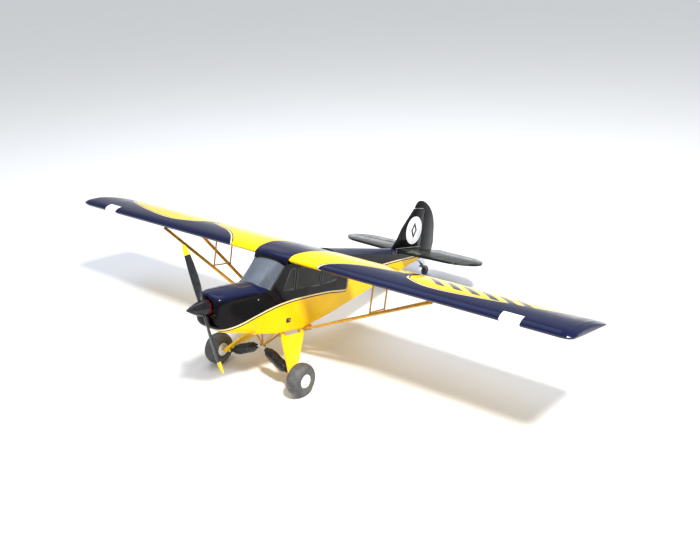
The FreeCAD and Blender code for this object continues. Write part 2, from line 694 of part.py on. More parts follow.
def blade_outline(chord, thickness, pitch, sweep):
    """A lens-shaped blade section turned to its pitch angle."""
    turn = math.radians(pitch)

    def turn_point(u, v):
        return (u * math.cos(turn) - v * math.sin(turn) + sweep, u * math.sin(turn) + v * math.cos(turn))

    left = turn_point(-chord / 2, 0)
    right = turn_point(chord / 2, 0)
    return [left, ("arc", turn_point(0, -thickness * 0.65), right),
            ("arc", turn_point(0, thickness * 0.35), left)]


def make_propeller(centre):
    radius = dim("prop_radius")
    sections = [(share * radius, blade_outline(chord, thick, pitch, sweep))
                for share, chord, thick, pitch, sweep in BLADE]
    hub = turned("prop_hub", [(dim("shaft_radius"), -dim("prop_hub_length") / 2),
                              ("line", (dim("prop_hub_radius"), -dim("prop_hub_length") / 2)),
                              ("line", (dim("prop_hub_radius"), dim("prop_hub_length") / 2)),
                              ("line", (dim("shaft_radius"), dim("prop_hub_length") / 2))])
    hub.Placement = FreeCAD.Placement(centre, FORWARD)
    blades = []
    for side in (0, 180):
        blade = loft("prop_blade", "XY_Plane", sections)
        turn = PROP_TURN.multiply(FreeCAD.Rotation(Vector(0, 1, 0), side))
        blade.Placement = FreeCAD.Placement(centre, turn)
        blades.append(blade)
    bore = rod("prop_bore", centre + Vector(0, 20, 0), centre - Vector(0, 20, 0), "dims.shaft_radius")
    whole = fuse("prop_whole", [hub] + blades)
    node("propeller", cut("prop", whole, [bore]))


# ---------------------------------------------------------------- tail

PLATE = dim("plate")
STAB = dim("stab_height")
BODY_HINGES = []
BODY_SERVOS = []


def make_tail():
    hinge = dim("elevator_hinge")
    post = dim("rudder_hinge")
    nose = PLATE / 2
    half_plan = [(0, 760), ("line", (30, 762)), ("line", (205, 782)),
                 ("arc", (296, 824), (328, 893)), ("arc", (304, 966), (222, 1000)), ("line", (70, 1009)),
                 ("line", (56, 985)), ("line", (14, hinge)), ("line", (0, hinge))]
    plan = pad("tail_plan", "XY_Plane", STAB - PLATE / 2, half_plan, "dims.plate")
    plan_right = mirrored("tail_plan_right", plan)
    whole = fuse("tail_plan_whole", [plan, plan_right])
    cove = rod("elevator_cove", Vector(-360, hinge, STAB), Vector(360, hinge, STAB), nose + 0.8)
    aft = box("elevator_side", (-360, hinge, STAB - 20), (360, 1100, STAB + 20))
    hinges = []
    losses = []
    for index, station in enumerate((70, 170, 268)):
        for side in (-1, 1):
            spot = (side * station, hinge, STAB)
            tag = f"{index}_{'left' if side > 0 else 'right'}"
            hinges.append(barrel_hinge("elevator_hinge_" + tag, spot, (1, 0, 0), (0, -1, 0)))
            losses += hinge_clearance("elevator_clear_" + tag, spot, (1, 0, 0), nose)
    rudder_hinges = []
    rudder_losses = []
    for index, height in enumerate((-82, 24, 104)):
        spot = (0, post, height)
        rudder_hinges.append(barrel_hinge(f"rudder_hinge_{index}", spot, (0, 0, 1), (0, -1, 0)))
        rudder_losses += hinge_clearance(f"rudder_clear_{index}", spot, (0, 0, 1), nose)
    BODY_HINGES.extend(hinges + rudder_hinges)
    node("stabilizer", cut("stab", whole, [cove, aft] + hinges))
    elevator_nose = rod("elevator_nose", Vector(-323, hinge, STAB), Vector(323, hinge, STAB), nose)
    inner_gap = box("joiner_gap", (-14, hinge - 20, STAB - 20), (14, hinge + 20, STAB + 20))
    joiner = rod("elevator_joiner", Vector(-40, hinge, STAB), Vector(40, hinge, STAB), 2)
    horn = pad("elevator_horn", "YZ_Plane", 24, [(hinge + 1, STAB + 3), ("line", (hinge + 14, STAB + 3)),
                                                 ("line", (hinge + 4, STAB + dim("tail_arm") + 3)),
                                                 ("line", (hinge - 4, STAB + dim("tail_arm") + 3)),
                                                 ("line", (hinge - 0.5, STAB + 9))], 1.8)
    blank = fuse("elevator_blank", [common("elevator_aft", whole, aft), elevator_nose])
    halves = cut("elevator_halves", blank, [inner_gap] + losses)
    clevis = rod("elevator_clevis_hole", Vector(20, hinge, STAB + dim("tail_arm")),
                 Vector(30, hinge, STAB + dim("tail_arm")), 1.3)
    node("elevator", cut("elevator_whole", fuse("elevator_fused", [halves, joiner, horn]), [clevis]))
    foot = STAB + PLATE / 2
    fin_side = [(738, -34.1), ("line", (757.2, -35.5)), ("line", (757.2, foot)), ("line", (925, foot)),
                ("line", (925, foot - PLATE)), ("line", (post, foot - PLATE)), ("line", (post, 131)),
                ("line", (873, 131)), ("line", (797, 49)), ("line", (768, 0))]
    fin_blank = pad("fin_blank", "YZ_Plane", 0, fin_side, "dims.plate", midplane=True)
    fin_cove = rod("fin_cove", Vector(0, post, -120), Vector(0, post, 200), nose + 0.8)
    node("fin", cut("fin_shape", fin_blank, [fin_cove] + rudder_hinges))
    rudder_side = [(post, -93), ("line", (post, 133)), ("line", (877, 133)), ("arc", (890, 154), (932, 162)),
                   ("arc", (1007, 118), (1044, 50)), ("line", (1057, -20)), ("line", (1050, -66))]
    rudder_blank = pad("rudder_blank", "YZ_Plane", 0, rudder_side, "dims.plate", midplane=True)
    rudder_nose = rod("rudder_nose", Vector(0, post, -93), Vector(0, post, 133), nose)
    arm = dim("rudder_arm")
    level = dim("rudder_arm_height")
    horn_plan = [(-3, post + 5), ("line", (-arm - 3, post - 3)), ("line", (-arm - 3, post + 3.5)),
                 ("line", (-14, post + 12)), ("line", (-3, post + 18))]
    rudder_horn = pad("rudder_horn", "XY_Plane", level - 0.9, horn_plan, 1.8)
    rudder_eye = rod("rudder_clevis_hole", Vector(-arm, post, level - 5), Vector(-arm, post, level + 5), 1.3)
    node("rudder", cut("rudder_shape", fuse("rudder_fused", [rudder_blank, rudder_nose, rudder_horn]),
                       rudder_losses + [rudder_eye]))
    make_tail_linkage()


def make_tail_linkage():
    """Each servo arm, pushrod and horn form a parallelogram, so arm and surface turn alike."""
    hinge = dim("elevator_hinge")
    station = dim("elevator_servo_station")
    reach = dim("tail_arm")
    case = box("elevator_servo_case", (1, station - 22, STAB - 8), (27, station + 8, STAB + 4))
    boss = rod("elevator_servo_boss", Vector(27, station, STAB), Vector(29, station, STAB), 3.5)
    high = STAB + reach
    arm_outline = [(station - 4, STAB - 4), ("line", (station + 4, STAB - 4)),
                   ("line", (station + 3, high + 3)), ("line", (station - 3, high + 3))]
    arm = pad("elevator_arm_pad", "YZ_Plane", 29.4, arm_outline, 1.6)
    eye = rod("elevator_arm_eye", Vector(20, station, high), Vector(40, station, high), 1.3)
    node("elevator_servo_arm", cut("elevator_arm", arm, [eye]))
    link = rod("elevator_link", Vector(27.4, station, high), Vector(27.4, hinge, high), 1.2)
    pins = [rod("elevator_link_pin", Vector(27.4, station, high), Vector(32, station, high), 1.2),
            rod("elevator_link_end", Vector(23.4, hinge, high), Vector(27.4, hinge, high), 1.2)]
    node("elevator_pushrod", fuse("elevator_rod", [link] + pins))
    post = dim("rudder_hinge")
    spot = dim("rudder_servo_station")
    side = dim("rudder_arm")
    level = dim("rudder_arm_height")
    rudder_case = box("rudder_servo_case", (-6, spot - 22, level - 32), (6, spot + 8, level - 6))
    rudder_boss = rod("rudder_servo_boss", Vector(0, spot, level - 6), Vector(0, spot, level - 1.4), 3.5)
    BODY_SERVOS.append(fuse("elevator_servo", [case, boss]))
    BODY_SERVOS.append(fuse("rudder_servo", [rudder_case, rudder_boss]))
    rudder_outline = [(4, spot - 4), ("line", (4, spot + 4)), ("line", (-side - 3, spot + 3)),
                      ("line", (-side - 3, spot - 3))]
    rudder_arm = pad("rudder_arm_pad", "XY_Plane", level - 0.8, rudder_outline, 1.6)
    rudder_eye = rod("rudder_arm_eye", Vector(-side, spot, level - 5), Vector(-side, spot, level + 5), 1.3)
    node("rudder_servo_arm", cut("rudder_arm", rudder_arm, [rudder_eye]))
    low = level - 3
    bar = rod("rudder_link", Vector(-side, spot, low), Vector(-side, post, low), 1.2)
    ends = [rod("rudder_link_pin", Vector(-side, where, low), Vector(-side, where, level + 2), 1.2)
            for where in (spot, post)]
    node("rudder_pushrod", fuse("rudder_rod", [bar] + ends))


# ---------------------------------------------------------------- struts and landing gear

FOOT = Vector(dim("strut_foot_side"), dim("strut_foot_station"), dim("strut_foot_height"))
STRUT_GAP = 19
HEAD_DROP = 10


def streamlined(name, start, end):
    """A strut of elliptical section with its long axis level and fore-and-aft."""
    reach = end - start
    section = doc.addObject("Part::Ellipse", name + "_section")
    bind(section, "MajorRadius", "dims.strut_width / 2")
    bind(section, "MinorRadius", "dims.strut_depth / 2")
    span = doc.addObject("Part::Extrusion", name)
    span.Base = section
    span.DirMode = "Custom"
    span.Dir = Vector(0, 0, 1)
    span.LengthFwd = reach.Length
    span.Solid = True
    side = reach.cross(Vector(0, 1, 0))
    chord = side.cross(reach)
    span.Placement = frame_at(start, chord, reach.cross(chord))
    return span


def make_struts():
    unders = []
    heads = []
    feet = []
    for spar, shift in (("front_spar", -STRUT_GAP / 2), ("rear_spar", STRUT_GAP / 2)):
        under = dim("wing_height") + section_heights(dim(spar) / CHORD)[1] * CHORD
        unders.append(under)
        heads.append(Vector(dim("strut_head_side"), dim(spar), under - HEAD_DROP))
        feet.append(FOOT + Vector(0, shift, 0))
    share = dim("jury_share")
    both_sides("lift_struts", group("lift_strut_pair", [streamlined("lift_strut", foot, head)
                                                        for foot, head in zip(feet, heads)]))
    middles = [foot + (head - foot) * share for foot, head in zip(feet, heads)]
    rise = Vector(0, 0, dim("strut_depth") / 2 + 2)
    jury = [rod("jury_post", middle + rise, Vector(middle.x, middle.y, under - 1), 3)
            for middle, under in zip(middles, unders)]
    lift = rise + Vector(0, 0, 3)
    jury.append(rod("jury_bar", middles[0] + lift, middles[1] + lift, 2.6))
    both_sides("jury_struts", fuse("jury_frame", jury))
    fittings = [box("strut_head_fitting", (head.x - 6, head.y - 8, head.z + 4.8),
                    (head.x + 6, head.y + 8, head.z + HEAD_DROP - 0.6)) for head in heads]
    plate = box("strut_foot_plate", (CABIN - 0.8, FOOT.y - 15, FOOT.z - 9),
                (FOOT.x - 3, FOOT.y + 17, FOOT.z + 9))
    fittings.append(cut("strut_foot_fitting", plate, [doc.getObject("hull_outer")]))
    node("strut_fittings", group("strut_fitting_set", fittings + [mirrored("fitting_starboard", part)
                                                                  for part in fittings]))


AXLE = Vector(dim("wheel_track_half"), dim("wheel_station"), dim("wheel_height"))
GEAR_PIVOT = Vector(dim("gear_pivot_side"), 0, dim("gear_pivot_height"))
LEG_FOOT = Vector(AXLE.x - dim("tyre_width") / 2 - 10, 0, AXLE.z)
LEG_WAY = (LEG_FOOT - GEAR_PIVOT).normalize()
LEG_FACE = Vector(-LEG_WAY.z, 0, LEG_WAY.x)
LEG_LENGTH = (LEG_FOOT - GEAR_PIVOT).Length
SHOCK_TOP = Vector(dim("apex_side"), dim("shock_station"), dim("apex_height"))
SHOCK_END = GEAR_PIVOT + LEG_WAY * (LEG_LENGTH - 15) - LEG_FACE * 12 + Vector(0, dim("shock_station"), 0)
KNUCKLES = (20, 122)
KNUCKLE_LENGTH = 14
EYE_HALF = 4


def make_legs():
    """Each leg is a flat fairing hinged along the lower longeron, with a stub axle at its foot."""
    outline = [(18, 6), ("line", (138, 6)), ("line", (6, LEG_LENGTH - 2)),
               ("arc", (-10, LEG_LENGTH + 9), (-27, LEG_LENGTH - 4))]
    parts = [pad("leg_fairing", "XY_Plane", 0, outline, "dims.leg_thickness", midplane=True)]
    parts[0].Placement = frame_at(GEAR_PIVOT, (0, 1, 0), LEG_WAY)
    for low in KNUCKLES:
        start = GEAR_PIVOT + Vector(0, low, 0)
        parts.append(rod("leg_knuckle", start, start + Vector(0, KNUCKLE_LENGTH, 0), 4))
        web_outline = [(0, 0), ("line", (KNUCKLE_LENGTH, 0)), ("line", (KNUCKLE_LENGTH, 12)),
                       ("line", (0, 12))]
        web = pad("leg_web", "XY_Plane", 0, web_outline, "dims.leg_thickness - 2", midplane=True)
        web.Placement = frame_at(start, (0, 1, 0), LEG_WAY)
        parts.append(web)
    axle_line = Vector(0, AXLE.y, AXLE.z)
    for name, low, high, radius in (("axle", LEG_FOOT.x - 8, AXLE.x + 28, "dims.axle_radius"),
                                    ("axle_collar", LEG_FOOT.x - 1, AXLE.x - dim("hub_width") / 2 - 1, 7),
                                    ("axle_cap", AXLE.x + dim("hub_width") / 2 + 1, AXLE.x + 28, 6)):
        parts.append(rod(name, axle_line + Vector(low, 0, 0), axle_line + Vector(high, 0, 0), radius))
    pin = Vector(0, EYE_HALF + 5, 0)
    parts.append(rod("shock_pin", SHOCK_END - pin, SHOCK_END + pin, 2))
    ear_outline = [(-5, 1), ("line", (5, 1)), ("line", (4, 15)), ("line", (-4, 15))]
    for low in (-EYE_HALF - 4, EYE_HALF + 1):
        ear = pad("shock_ear", "XY_Plane", 0, ear_outline, 3)
        ear.Placement = frame_at(SHOCK_END + LEG_FACE * 12 + Vector(0, low, 0), LEG_WAY, -LEG_FACE)
        parts.append(ear)
    bore = rod("leg_pin_bore", GEAR_PIVOT, GEAR_PIVOT + Vector(0, 160, 0), 1.5 + dim("running_gap"))
    both_sides("gear_leg", cut("leg", fuse("leg_parts", parts), [bore]))


def make_cabane():
    """Tubes from the lower longerons to the apex that carries both shock struts, and the gear lugs."""
    hull = doc.getObject("hull_outer")
    apex = Vector(0, dim("shock_station"), dim("apex_height"))
    parts = [box("apex_plate", (-12, apex.y + EYE_HALF + 1, apex.z - 5),
                 (12, apex.y + EYE_HALF + 5, apex.z + 7))]
    for side in (-1, 1):
        top = Vector(side * SHOCK_TOP.x, SHOCK_TOP.y, SHOCK_TOP.z)
        parts.append(rod("apex_pin", top - Vector(0, EYE_HALF + 1, 0), top + Vector(0, EYE_HALF + 3, 0), 2))
        low_end = apex + Vector(side * 4, EYE_HALF + 4.5, 3)
        for foot in (-10, 46):
            parts.append(rod("cabane_tube", Vector(side * 55, foot, -270), low_end, "dims.tube_radius"))
    node("cabane_struts", cut("cabane", fuse("cabane_frame", parts), [hull]))
    lugs = []
    pivot = GEAR_PIVOT
    for low in KNUCKLES:
        first = low - 8
        last = low + KNUCKLE_LENGTH + 6
        for start, end in ((first, low - 0.4), (low + KNUCKLE_LENGTH + 0.4, last)):
            lugs.append(box("gear_lug", (pivot.x - 4, start, pivot.z - 4), (pivot.x + 4, end, pivot.z + 14)))
        lugs.append(rod("gear_pin", pivot + Vector(0, first, 0), pivot + Vector(0, last, 0), 1.5))
    port = cut("gear_brackets", fuse("gear_lugs", lugs), [hull])
    node("gear_brackets", group("gear_bracket_set", [port, mirrored("gear_brackets_starboard", port)]))


def make_shocks():
    """A rod from the apex slides in the covered lower half, which ends in an eye on the leg."""
    where, length = along(SHOCK_TOP, SHOCK_END)
    radius = dim("cover_radius")
    start = 14
    end = length - 14
    bar = 3
    eye_way = Vector(0, EYE_HALF, 0)
    top_eye = rod("shock_top_eye", SHOCK_TOP - eye_way, SHOCK_TOP + eye_way, 5)
    way = (SHOCK_END - SHOCK_TOP).normalize()
    shaft = rod("shock_shaft", SHOCK_TOP, SHOCK_TOP + way * (start + 44), bar)
    top_bore = rod("shock_top_bore", SHOCK_TOP - eye_way, SHOCK_TOP + eye_way, 2 + dim("running_gap"))
    both_sides("shock_rod", cut("shock_rod_shape", fuse("shock_rod_parts", [top_eye, shaft]), [top_bore]))
    cover = turned("cover_turn", [(bar + 0.3, start), ("line", (9, start)),
                                  ("arc", (16.5, start + 7), (radius, start + 20)),
                                  ("line", (radius, end - 22)), ("arc", (16, end - 7), (8, end)),
                                  ("line", (3.2, end + 2)), ("line", (3.2, length - 4)),
                                  ("line", (0, length - 4)), ("line", (0, start + 48)),
                                  ("line", (bar + 0.3, start + 48))])
    cover.Placement = where
    low_eye = rod("shock_low_eye", SHOCK_END - eye_way, SHOCK_END + eye_way, 6)
    low_bore = rod("shock_low_bore", SHOCK_END - eye_way * 2, SHOCK_END + eye_way * 2, 3)
    whole = fuse("shock_cover_parts", [cover, low_eye])
    both_sides("shock_cover", cut("shock_cover_shape", whole, [low_bore]))


def make_wheels():
    rim = dim("hub_radius")
    radius = dim("wheel_radius")
    half = dim("tyre_width") / 2
    centre = radius - half
    bead = math.sqrt(half ** 2 - (centre - rim) ** 2)
    ring = turned("tyre_turn", [(rim, -bead), ("arc", (centre, -half), (radius, 0)),
                                ("arc", (centre, half), (rim, bead))])
    bore = dim("axle_radius") + dim("running_gap")
    edge = dim("hub_width") / 2
    hub = turned("hub_turn", [(bore, -edge), ("line", (9, -edge)), ("line", (12, 4 - edge)),
                              ("line", (20, 5 - edge)), ("line", (rim, 1 - edge)), ("line", (rim, edge - 1)),
                              ("line", (20, edge - 5)), ("line", (12, edge - 4)), ("line", (9, edge)),
                              ("line", (bore, edge))])
    for part in (ring, hub):
        part.Placement = FreeCAD.Placement(AXLE, ABOUT_X)
    both_sides("tyre", ring)
    both_sides("wheel_hub", hub)


# ---------------------------------------------------------------- stance and tail wheel

TAIL_AXLE = Vector(0, dim("tailwheel_station"), dim("tailwheel_height"))


def stance():
    """Nose-up angle that rests the two main wheels and the tail wheel on one level."""
    run = TAIL_AXLE.y - AXLE.y
    rise = TAIL_AXLE.z - AXLE.z
    lift = dim("wheel_radius") - dim("tailwheel_radius")
    return math.asin(lift / math.hypot(run, rise)) + math.atan2(rise, run)


PITCH = math.degrees(stance())
UPRIGHT = FreeCAD.Placement(TAIL_AXLE, FreeCAD.Rotation(Vector(1, 0, 0), PITCH))


def make_tail_wheel():
    """Drawn upright about the tail wheel's axle: the swivel axis is vertical when the plane stands."""
    trail = dim("caster_trail")
    radius = dim("tailwheel_radius")
    half = dim("tailwheel_width") / 2
    top = radius + 5
    pivot = Vector(0, -trail, 0)
    bore = 1.5 + dim("running_gap")
    boss_low = UPRIGHT.multVec(pivot + Vector(0, 0, top + 4))
    boss_high = UPRIGHT.multVec(pivot + Vector(0, 0, top + 13))
    boss = rod("swivel_boss", boss_low, boss_high, 6)
    swivel = rod("swivel_bore", boss_low - (boss_high - boss_low), boss_high * 2 - boss_low,
                 2.5 + dim("running_gap"))
    clamp_start = 882
    clamp_end = 936
    top_start = floor_height(clamp_start)
    top_end = floor_height(clamp_end)
    thick = 2.6
    end = (boss_high + boss_low) * 0.5
    leaf = pad("leaf_spring", "YZ_Plane", 0, [
        (clamp_start, top_start - 0.05), ("line", (clamp_end, top_end - 0.05)),
        ("arc", (968, -102.5), (end.y, end.z + thick / 2)), ("line", (end.y, end.z - thick / 2)),
        ("arc", (967, -105.2), (clamp_end, top_end - thick)), ("line", (clamp_start, top_start - thick))],
        11, midplane=True)
    screws = []
    for station in (896, 924):
        base = Vector(0, station, floor_height(station))
        screws.append(rod("leaf_screw", base - Vector(0, 0, 4.4), base - Vector(0, 0, thick), 3))
    node("tail_spring", cut("tail_leaf", fuse("tail_leaf_parts", [leaf, boss] + screws), [swivel]))
    cheek = [(-5, -5), ("line", (5, -5)), ("line", (4, 10)), ("line", (-12, top + 3)),
             ("line", (-trail - 6, top + 3)), ("line", (-trail - 6, top)), ("line", (-18, top)),
             ("line", (-5, 6))]
    parts = []
    for side in (-1, 1):
        parts.append(pad("fork_cheek", "YZ_Plane", side * (half + 2.5) - 0.8, cheek, 1.6))
    parts.append(box("fork_crown", (-half - 3.3, -trail - 6, top), (half + 3.3, -12, top + 3)))
    parts.append(rod("fork_pin", pivot + Vector(0, 0, top + 1), pivot + Vector(0, 0, top + 15), 2.5))
    parts.append(rod("fork_axle", Vector(-half - 4, 0, 0), Vector(half + 4, 0, 0), 1.5))
    fork = fuse("fork", parts)
    fork.Placement = UPRIGHT
    node("tailwheel_fork", fork)
    wheel = turned("tailwheel_turn", [(bore, -half), ("line", (8, -half)), ("line", (10, 1.5 - half)),
                                      ("line", (radius - 8, 1.5 - half)),
                                      ("arc", (radius - 2.5, -half * 0.72), (radius, 0)),
                                      ("arc", (radius - 2.5, half * 0.72), (radius - 8, half - 1.5)),
                                      ("line", (10, half - 1.5)), ("line", (8, half)),
                                      ("line", (bore, half))])
    wheel.Placement = FreeCAD.Placement(TAIL_AXLE, ABOUT_X)
    node("tailwheel", wheel)


# ---------------------------------------------------------------- equipment

def make_equipment():
    node("battery", box("battery_pack", (-22, -10, -268), (22, 128, -230)))
    node("speed_controller", box("controller_case", (-18, -176, -247), (18, -122, -233)))
    node("receiver", box("receiver_case", (-15, 80, -203), (15, 124, -189)))
    side = CABIN + 2
    plate = box("switch_plate_block", (side, 32, -238), (side + 1.3, 54, -222))
    slot = box("switch_slot", (side - 1, 36, -233), (side + 3, 50, -227))
    node("switch_plate", cut("switch_plate_shape", plate, [slot]))
    node("switch_slider", box("switch_button", (side + 0.2, 36.6, -232.6), (side + 4, 42.6, -227.4)))


# ---------------------------------------------------------------- assembly

make_tail()
make_fuselage()
make_roof()
make_cabin_tubes()
make_cowl()
make_power()
make_wings()
make_struts()
make_legs()
make_cabane()
make_shocks()
make_wheels()
make_tail_wheel()
make_equipment()
doc.recompute()

TWINS = [part for part in NODES.values() if part.TypeId == "Part::Mirroring"]
TILT = FreeCAD.Placement(Vector(0, 0, 0), FreeCAD.Rotation(Vector(1, 0, 0), -PITCH))


def overall_box():
    whole = FreeCAD.BoundBox()
    for part in NODES.values():
        whole.add(part.Shape.optimalBoundingBox(False))
    return whole


for part in NODES.values():
    if part not in TWINS:
        part.Placement = TILT * part.Placement
doc.recompute()
WHOLE = overall_box()
GROUND = Vector(0, -WHOLE.Center.y, -WHOLE.ZMin)
for part in NODES.values():
    if part not in TWINS:
        part.Placement = FreeCAD.Placement(GROUND, FreeCAD.Rotation()) * part.Placement
doc.recompute()

faults = [part.Label for part in doc.Objects if "Invalid" in part.State or "Error" in part.State]
faults += [label for label, part in NODES.items() if part.Shape.isNull() or not part.Shape.isValid()]
if faults:
    raise RuntimeError("these objects failed: " + ", ".join(faults))

os.makedirs("parts", exist_ok=True)
for label, part in NODES.items():
    part.Shape.exportStep(os.path.join("parts", label + ".step"))
print(len(NODES), "parts; nose-up angle", round(PITCH, 3), "placed by", [round(value, 3) for value in GROUND])
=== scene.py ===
import json
import math

import bmesh
import bpy
from mathutils import Matrix, Vector, noise

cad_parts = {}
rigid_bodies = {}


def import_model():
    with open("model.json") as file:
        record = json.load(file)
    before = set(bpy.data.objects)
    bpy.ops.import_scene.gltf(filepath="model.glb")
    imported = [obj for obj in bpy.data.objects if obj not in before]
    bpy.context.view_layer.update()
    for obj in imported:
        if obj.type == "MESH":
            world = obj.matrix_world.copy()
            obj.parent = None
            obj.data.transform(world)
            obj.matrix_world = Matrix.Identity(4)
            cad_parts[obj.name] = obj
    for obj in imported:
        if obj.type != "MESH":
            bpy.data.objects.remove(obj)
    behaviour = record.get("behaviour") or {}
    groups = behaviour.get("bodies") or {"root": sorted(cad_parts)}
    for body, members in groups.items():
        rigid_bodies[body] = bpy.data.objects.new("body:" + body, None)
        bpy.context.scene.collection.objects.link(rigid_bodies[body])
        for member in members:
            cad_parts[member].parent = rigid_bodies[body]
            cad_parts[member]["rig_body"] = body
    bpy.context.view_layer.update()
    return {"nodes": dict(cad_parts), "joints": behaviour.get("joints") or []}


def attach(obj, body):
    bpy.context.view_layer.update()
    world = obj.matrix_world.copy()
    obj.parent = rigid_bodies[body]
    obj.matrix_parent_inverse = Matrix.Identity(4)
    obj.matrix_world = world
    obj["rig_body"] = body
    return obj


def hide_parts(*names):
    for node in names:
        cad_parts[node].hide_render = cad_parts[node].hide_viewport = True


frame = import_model()
NODES = frame["nodes"]
JOINTS = {joint["name"]: joint for joint in frame["joints"]}

# ---------------------------------------------------------------- the airframe's own frame
# Shapes and paint are laid out in the level airframe frame: x to port, y aft, z up, in metres,
# with the origin below the wing's leading edge.  The rudder's hinge line is its upright axis.

RUDDER_HINGE = Vector((0, 0.950, 0.030))
PITCH = math.atan2(JOINTS["rudder_hinge"]["axis"][1], JOINTS["rudder_hinge"]["axis"][2])
LEVEL = Matrix.Rotation(-PITCH, 4, "X")
ORIGIN = Vector(JOINTS["rudder_hinge"]["pos_m"]) - LEVEL @ RUDDER_HINGE
AIRFRAME = Matrix.Translation(ORIGIN) @ LEVEL


def at(x, y, z):
    """A point of the airframe frame, given in millimetres."""
    return AIRFRAME @ (Vector((x, y, z)) / 1000)


def joint_place(name):
    return Vector(JOINTS[name]["pos_m"])


def joint_axis(name):
    return Vector(JOINTS[name]["axis"]).normalized()


# Height of the propeller shaft, and the stations of the blades and of the spinner's base, in millimetres.
THRUST_LINE = -162
BLADE_STATION = -299
SPINNER_STATION = -291


# ---------------------------------------------------------------- mesh helpers

def new_piece(name, points, faces, material, body, smooth=True):
    """A mesh piece whose points are in the row frame, riding on one body."""
    mesh = bpy.data.meshes.new(name)
    mesh.from_pydata([tuple(point) for point in points], [], faces)
    shape = bmesh.new()
    shape.from_mesh(mesh)
    bmesh.ops.remove_doubles(shape, verts=shape.verts, dist=1e-6)
    bmesh.ops.recalc_face_normals(shape, faces=shape.faces)
    shape.to_mesh(mesh)
    shape.free()
    for face in mesh.polygons:
        face.use_smooth = smooth
    piece = bpy.data.objects.new(name, mesh)
    bpy.context.scene.collection.objects.link(piece)
    mesh.materials.append(material)
    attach(piece, body)
    return piece


def skin_rings(rings, capped=True):
    """Points and faces of a skin through rings that all have the same number of points."""
    count = len(rings[0])
    points = [point for ring in rings for point in ring]
    faces = []
    for row in range(len(rings) - 1):
        for column in range(count):
            following = (column + 1) % count
            faces.append((row * count + column, row * count + following,
                          (row + 1) * count + following, (row + 1) * count + column))
    if capped:
        faces.append(tuple(range(count - 1, -1, -1)))
        faces.append(tuple(range((len(rings) - 1) * count, len(rings) * count)))
    return points, faces


def side_axes(axis):
    """Two directions square to an axis and to each other."""
    axis = Vector(axis).normalized()
    across = axis.orthogonal().normalized()
    return across, axis.cross(across).normalized()


def lathe_rings(profile, centre, axis, steps, ripple=None):
    """Rings about an axis from (radius, height) pairs in metres; ripple changes a point's radius."""
    across, upward = side_axes(axis)
    axis = Vector(axis).normalized()
    rings = []
    for radius, height in profile:
        ring = []
        for step in range(steps):
            angle = 2 * math.pi * step / steps
            reach = radius + (ripple(angle, height, radius) if ripple else 0)
            outward = across * math.cos(angle) + upward * math.sin(angle)
            ring.append(centre + axis * height + outward * reach)
        rings.append(ring)
    return rings


def hoop(profile, centre, axis, steps):
    """Points and faces of a closed profile turned about an axis."""
    rings = lathe_rings(profile, centre, axis, steps)
    return skin_rings(rings + [rings[0]], capped=False)


def turned(profile, centre, axis, steps, ripple=None):
    """Points and faces of a profile that begins and ends on the axis, turned about it."""
    return skin_rings(lathe_rings(profile, centre, axis, steps, ripple), capped=False)


def together(shapes):
    """Several (points, faces) shapes as one."""
    points = []
    faces = []
    for more_points, more_faces in shapes:
        start = len(points)
        points.extend(more_points)
        faces.extend(tuple(index + start for index in face) for face in more_faces)
    return points, faces


def fine_profile(rows, steps=6):
    """A smooth line through (radius, height) pairs given in millimetres, in metres."""
    table = [(index, radius / 1000, height / 1000) for index, (radius, height) in enumerate(rows)]
    count = (len(rows) - 1) * steps
    return [tuple(smooth_table(table, (len(rows) - 1) * step / count)) for step in range(count + 1)]


def bar_shape(start, end, width, depth, upward):
    """A straight strip of rectangular section between two points."""
    along = (end - start).normalized()
    across = along.cross(upward).normalized()
    rise = across.cross(along).normalized()
    ring = [across * (width / 2) * u + rise * (depth / 2) * v
            for u, v in ((-1, -1), (1, -1), (1, 1), (-1, 1))]
    return skin_rings([[start + corner for corner in ring], [end + corner for corner in ring]])


def smooth_table(rows, share):
    """Values between the rows of a table by a smooth curve; the first column is the share."""
    last = len(rows) - 2
    index = 0
    while index < last and rows[index + 1][0] < share:
        index += 1
    before = rows[max(index - 1, 0)]
    low = rows[index]
    high = rows[index + 1]
    after = rows[min(index + 2, len(rows) - 1)]
    span = high[0] - low[0]
    part = (share - low[0]) / span
    values = []
    for column in range(1, len(low)):
        slope_low = (high[column] - before[column]) / max(high[0] - before[0], 1e-9) * span
        slope_high = (after[column] - low[column]) / max(after[0] - low[0], 1e-9) * span
        values.append((2 * part ** 3 - 3 * part ** 2 + 1) * low[column]
                      + (part ** 3 - 2 * part ** 2 + part) * slope_low
                      + (3 * part ** 2 - 2 * part ** 3) * high[column]
                      + (part ** 3 - part ** 2) * slope_high)
    return values


def settle(piece):
    """Turn a piece's modifiers into its mesh."""
    graph = bpy.context.evaluated_depsgraph_get()
    made = bpy.data.meshes.new_from_object(piece.evaluated_get(graph))
    piece.modifiers.clear()
    piece.data = made


def carve(piece, cutters):
    """Cut closed meshes, given as (points, faces), out of a piece."""
    for points, faces in cutters:
        mesh = bpy.data.meshes.new("cutter")
        mesh.from_pydata([tuple(point) for point in points], [], faces)
        shape = bmesh.new()
        shape.from_mesh(mesh)
        bmesh.ops.recalc_face_normals(shape, faces=shape.faces)
        shape.to_mesh(mesh)
        shape.free()
        cutter = bpy.data.objects.new("cutter", mesh)
        bpy.context.scene.collection.objects.link(cutter)
        tool = piece.modifiers.new("carve", "BOOLEAN")
        tool.operation = "DIFFERENCE"
        tool.object = cutter
        settle(piece)
        bpy.data.objects.remove(cutter)


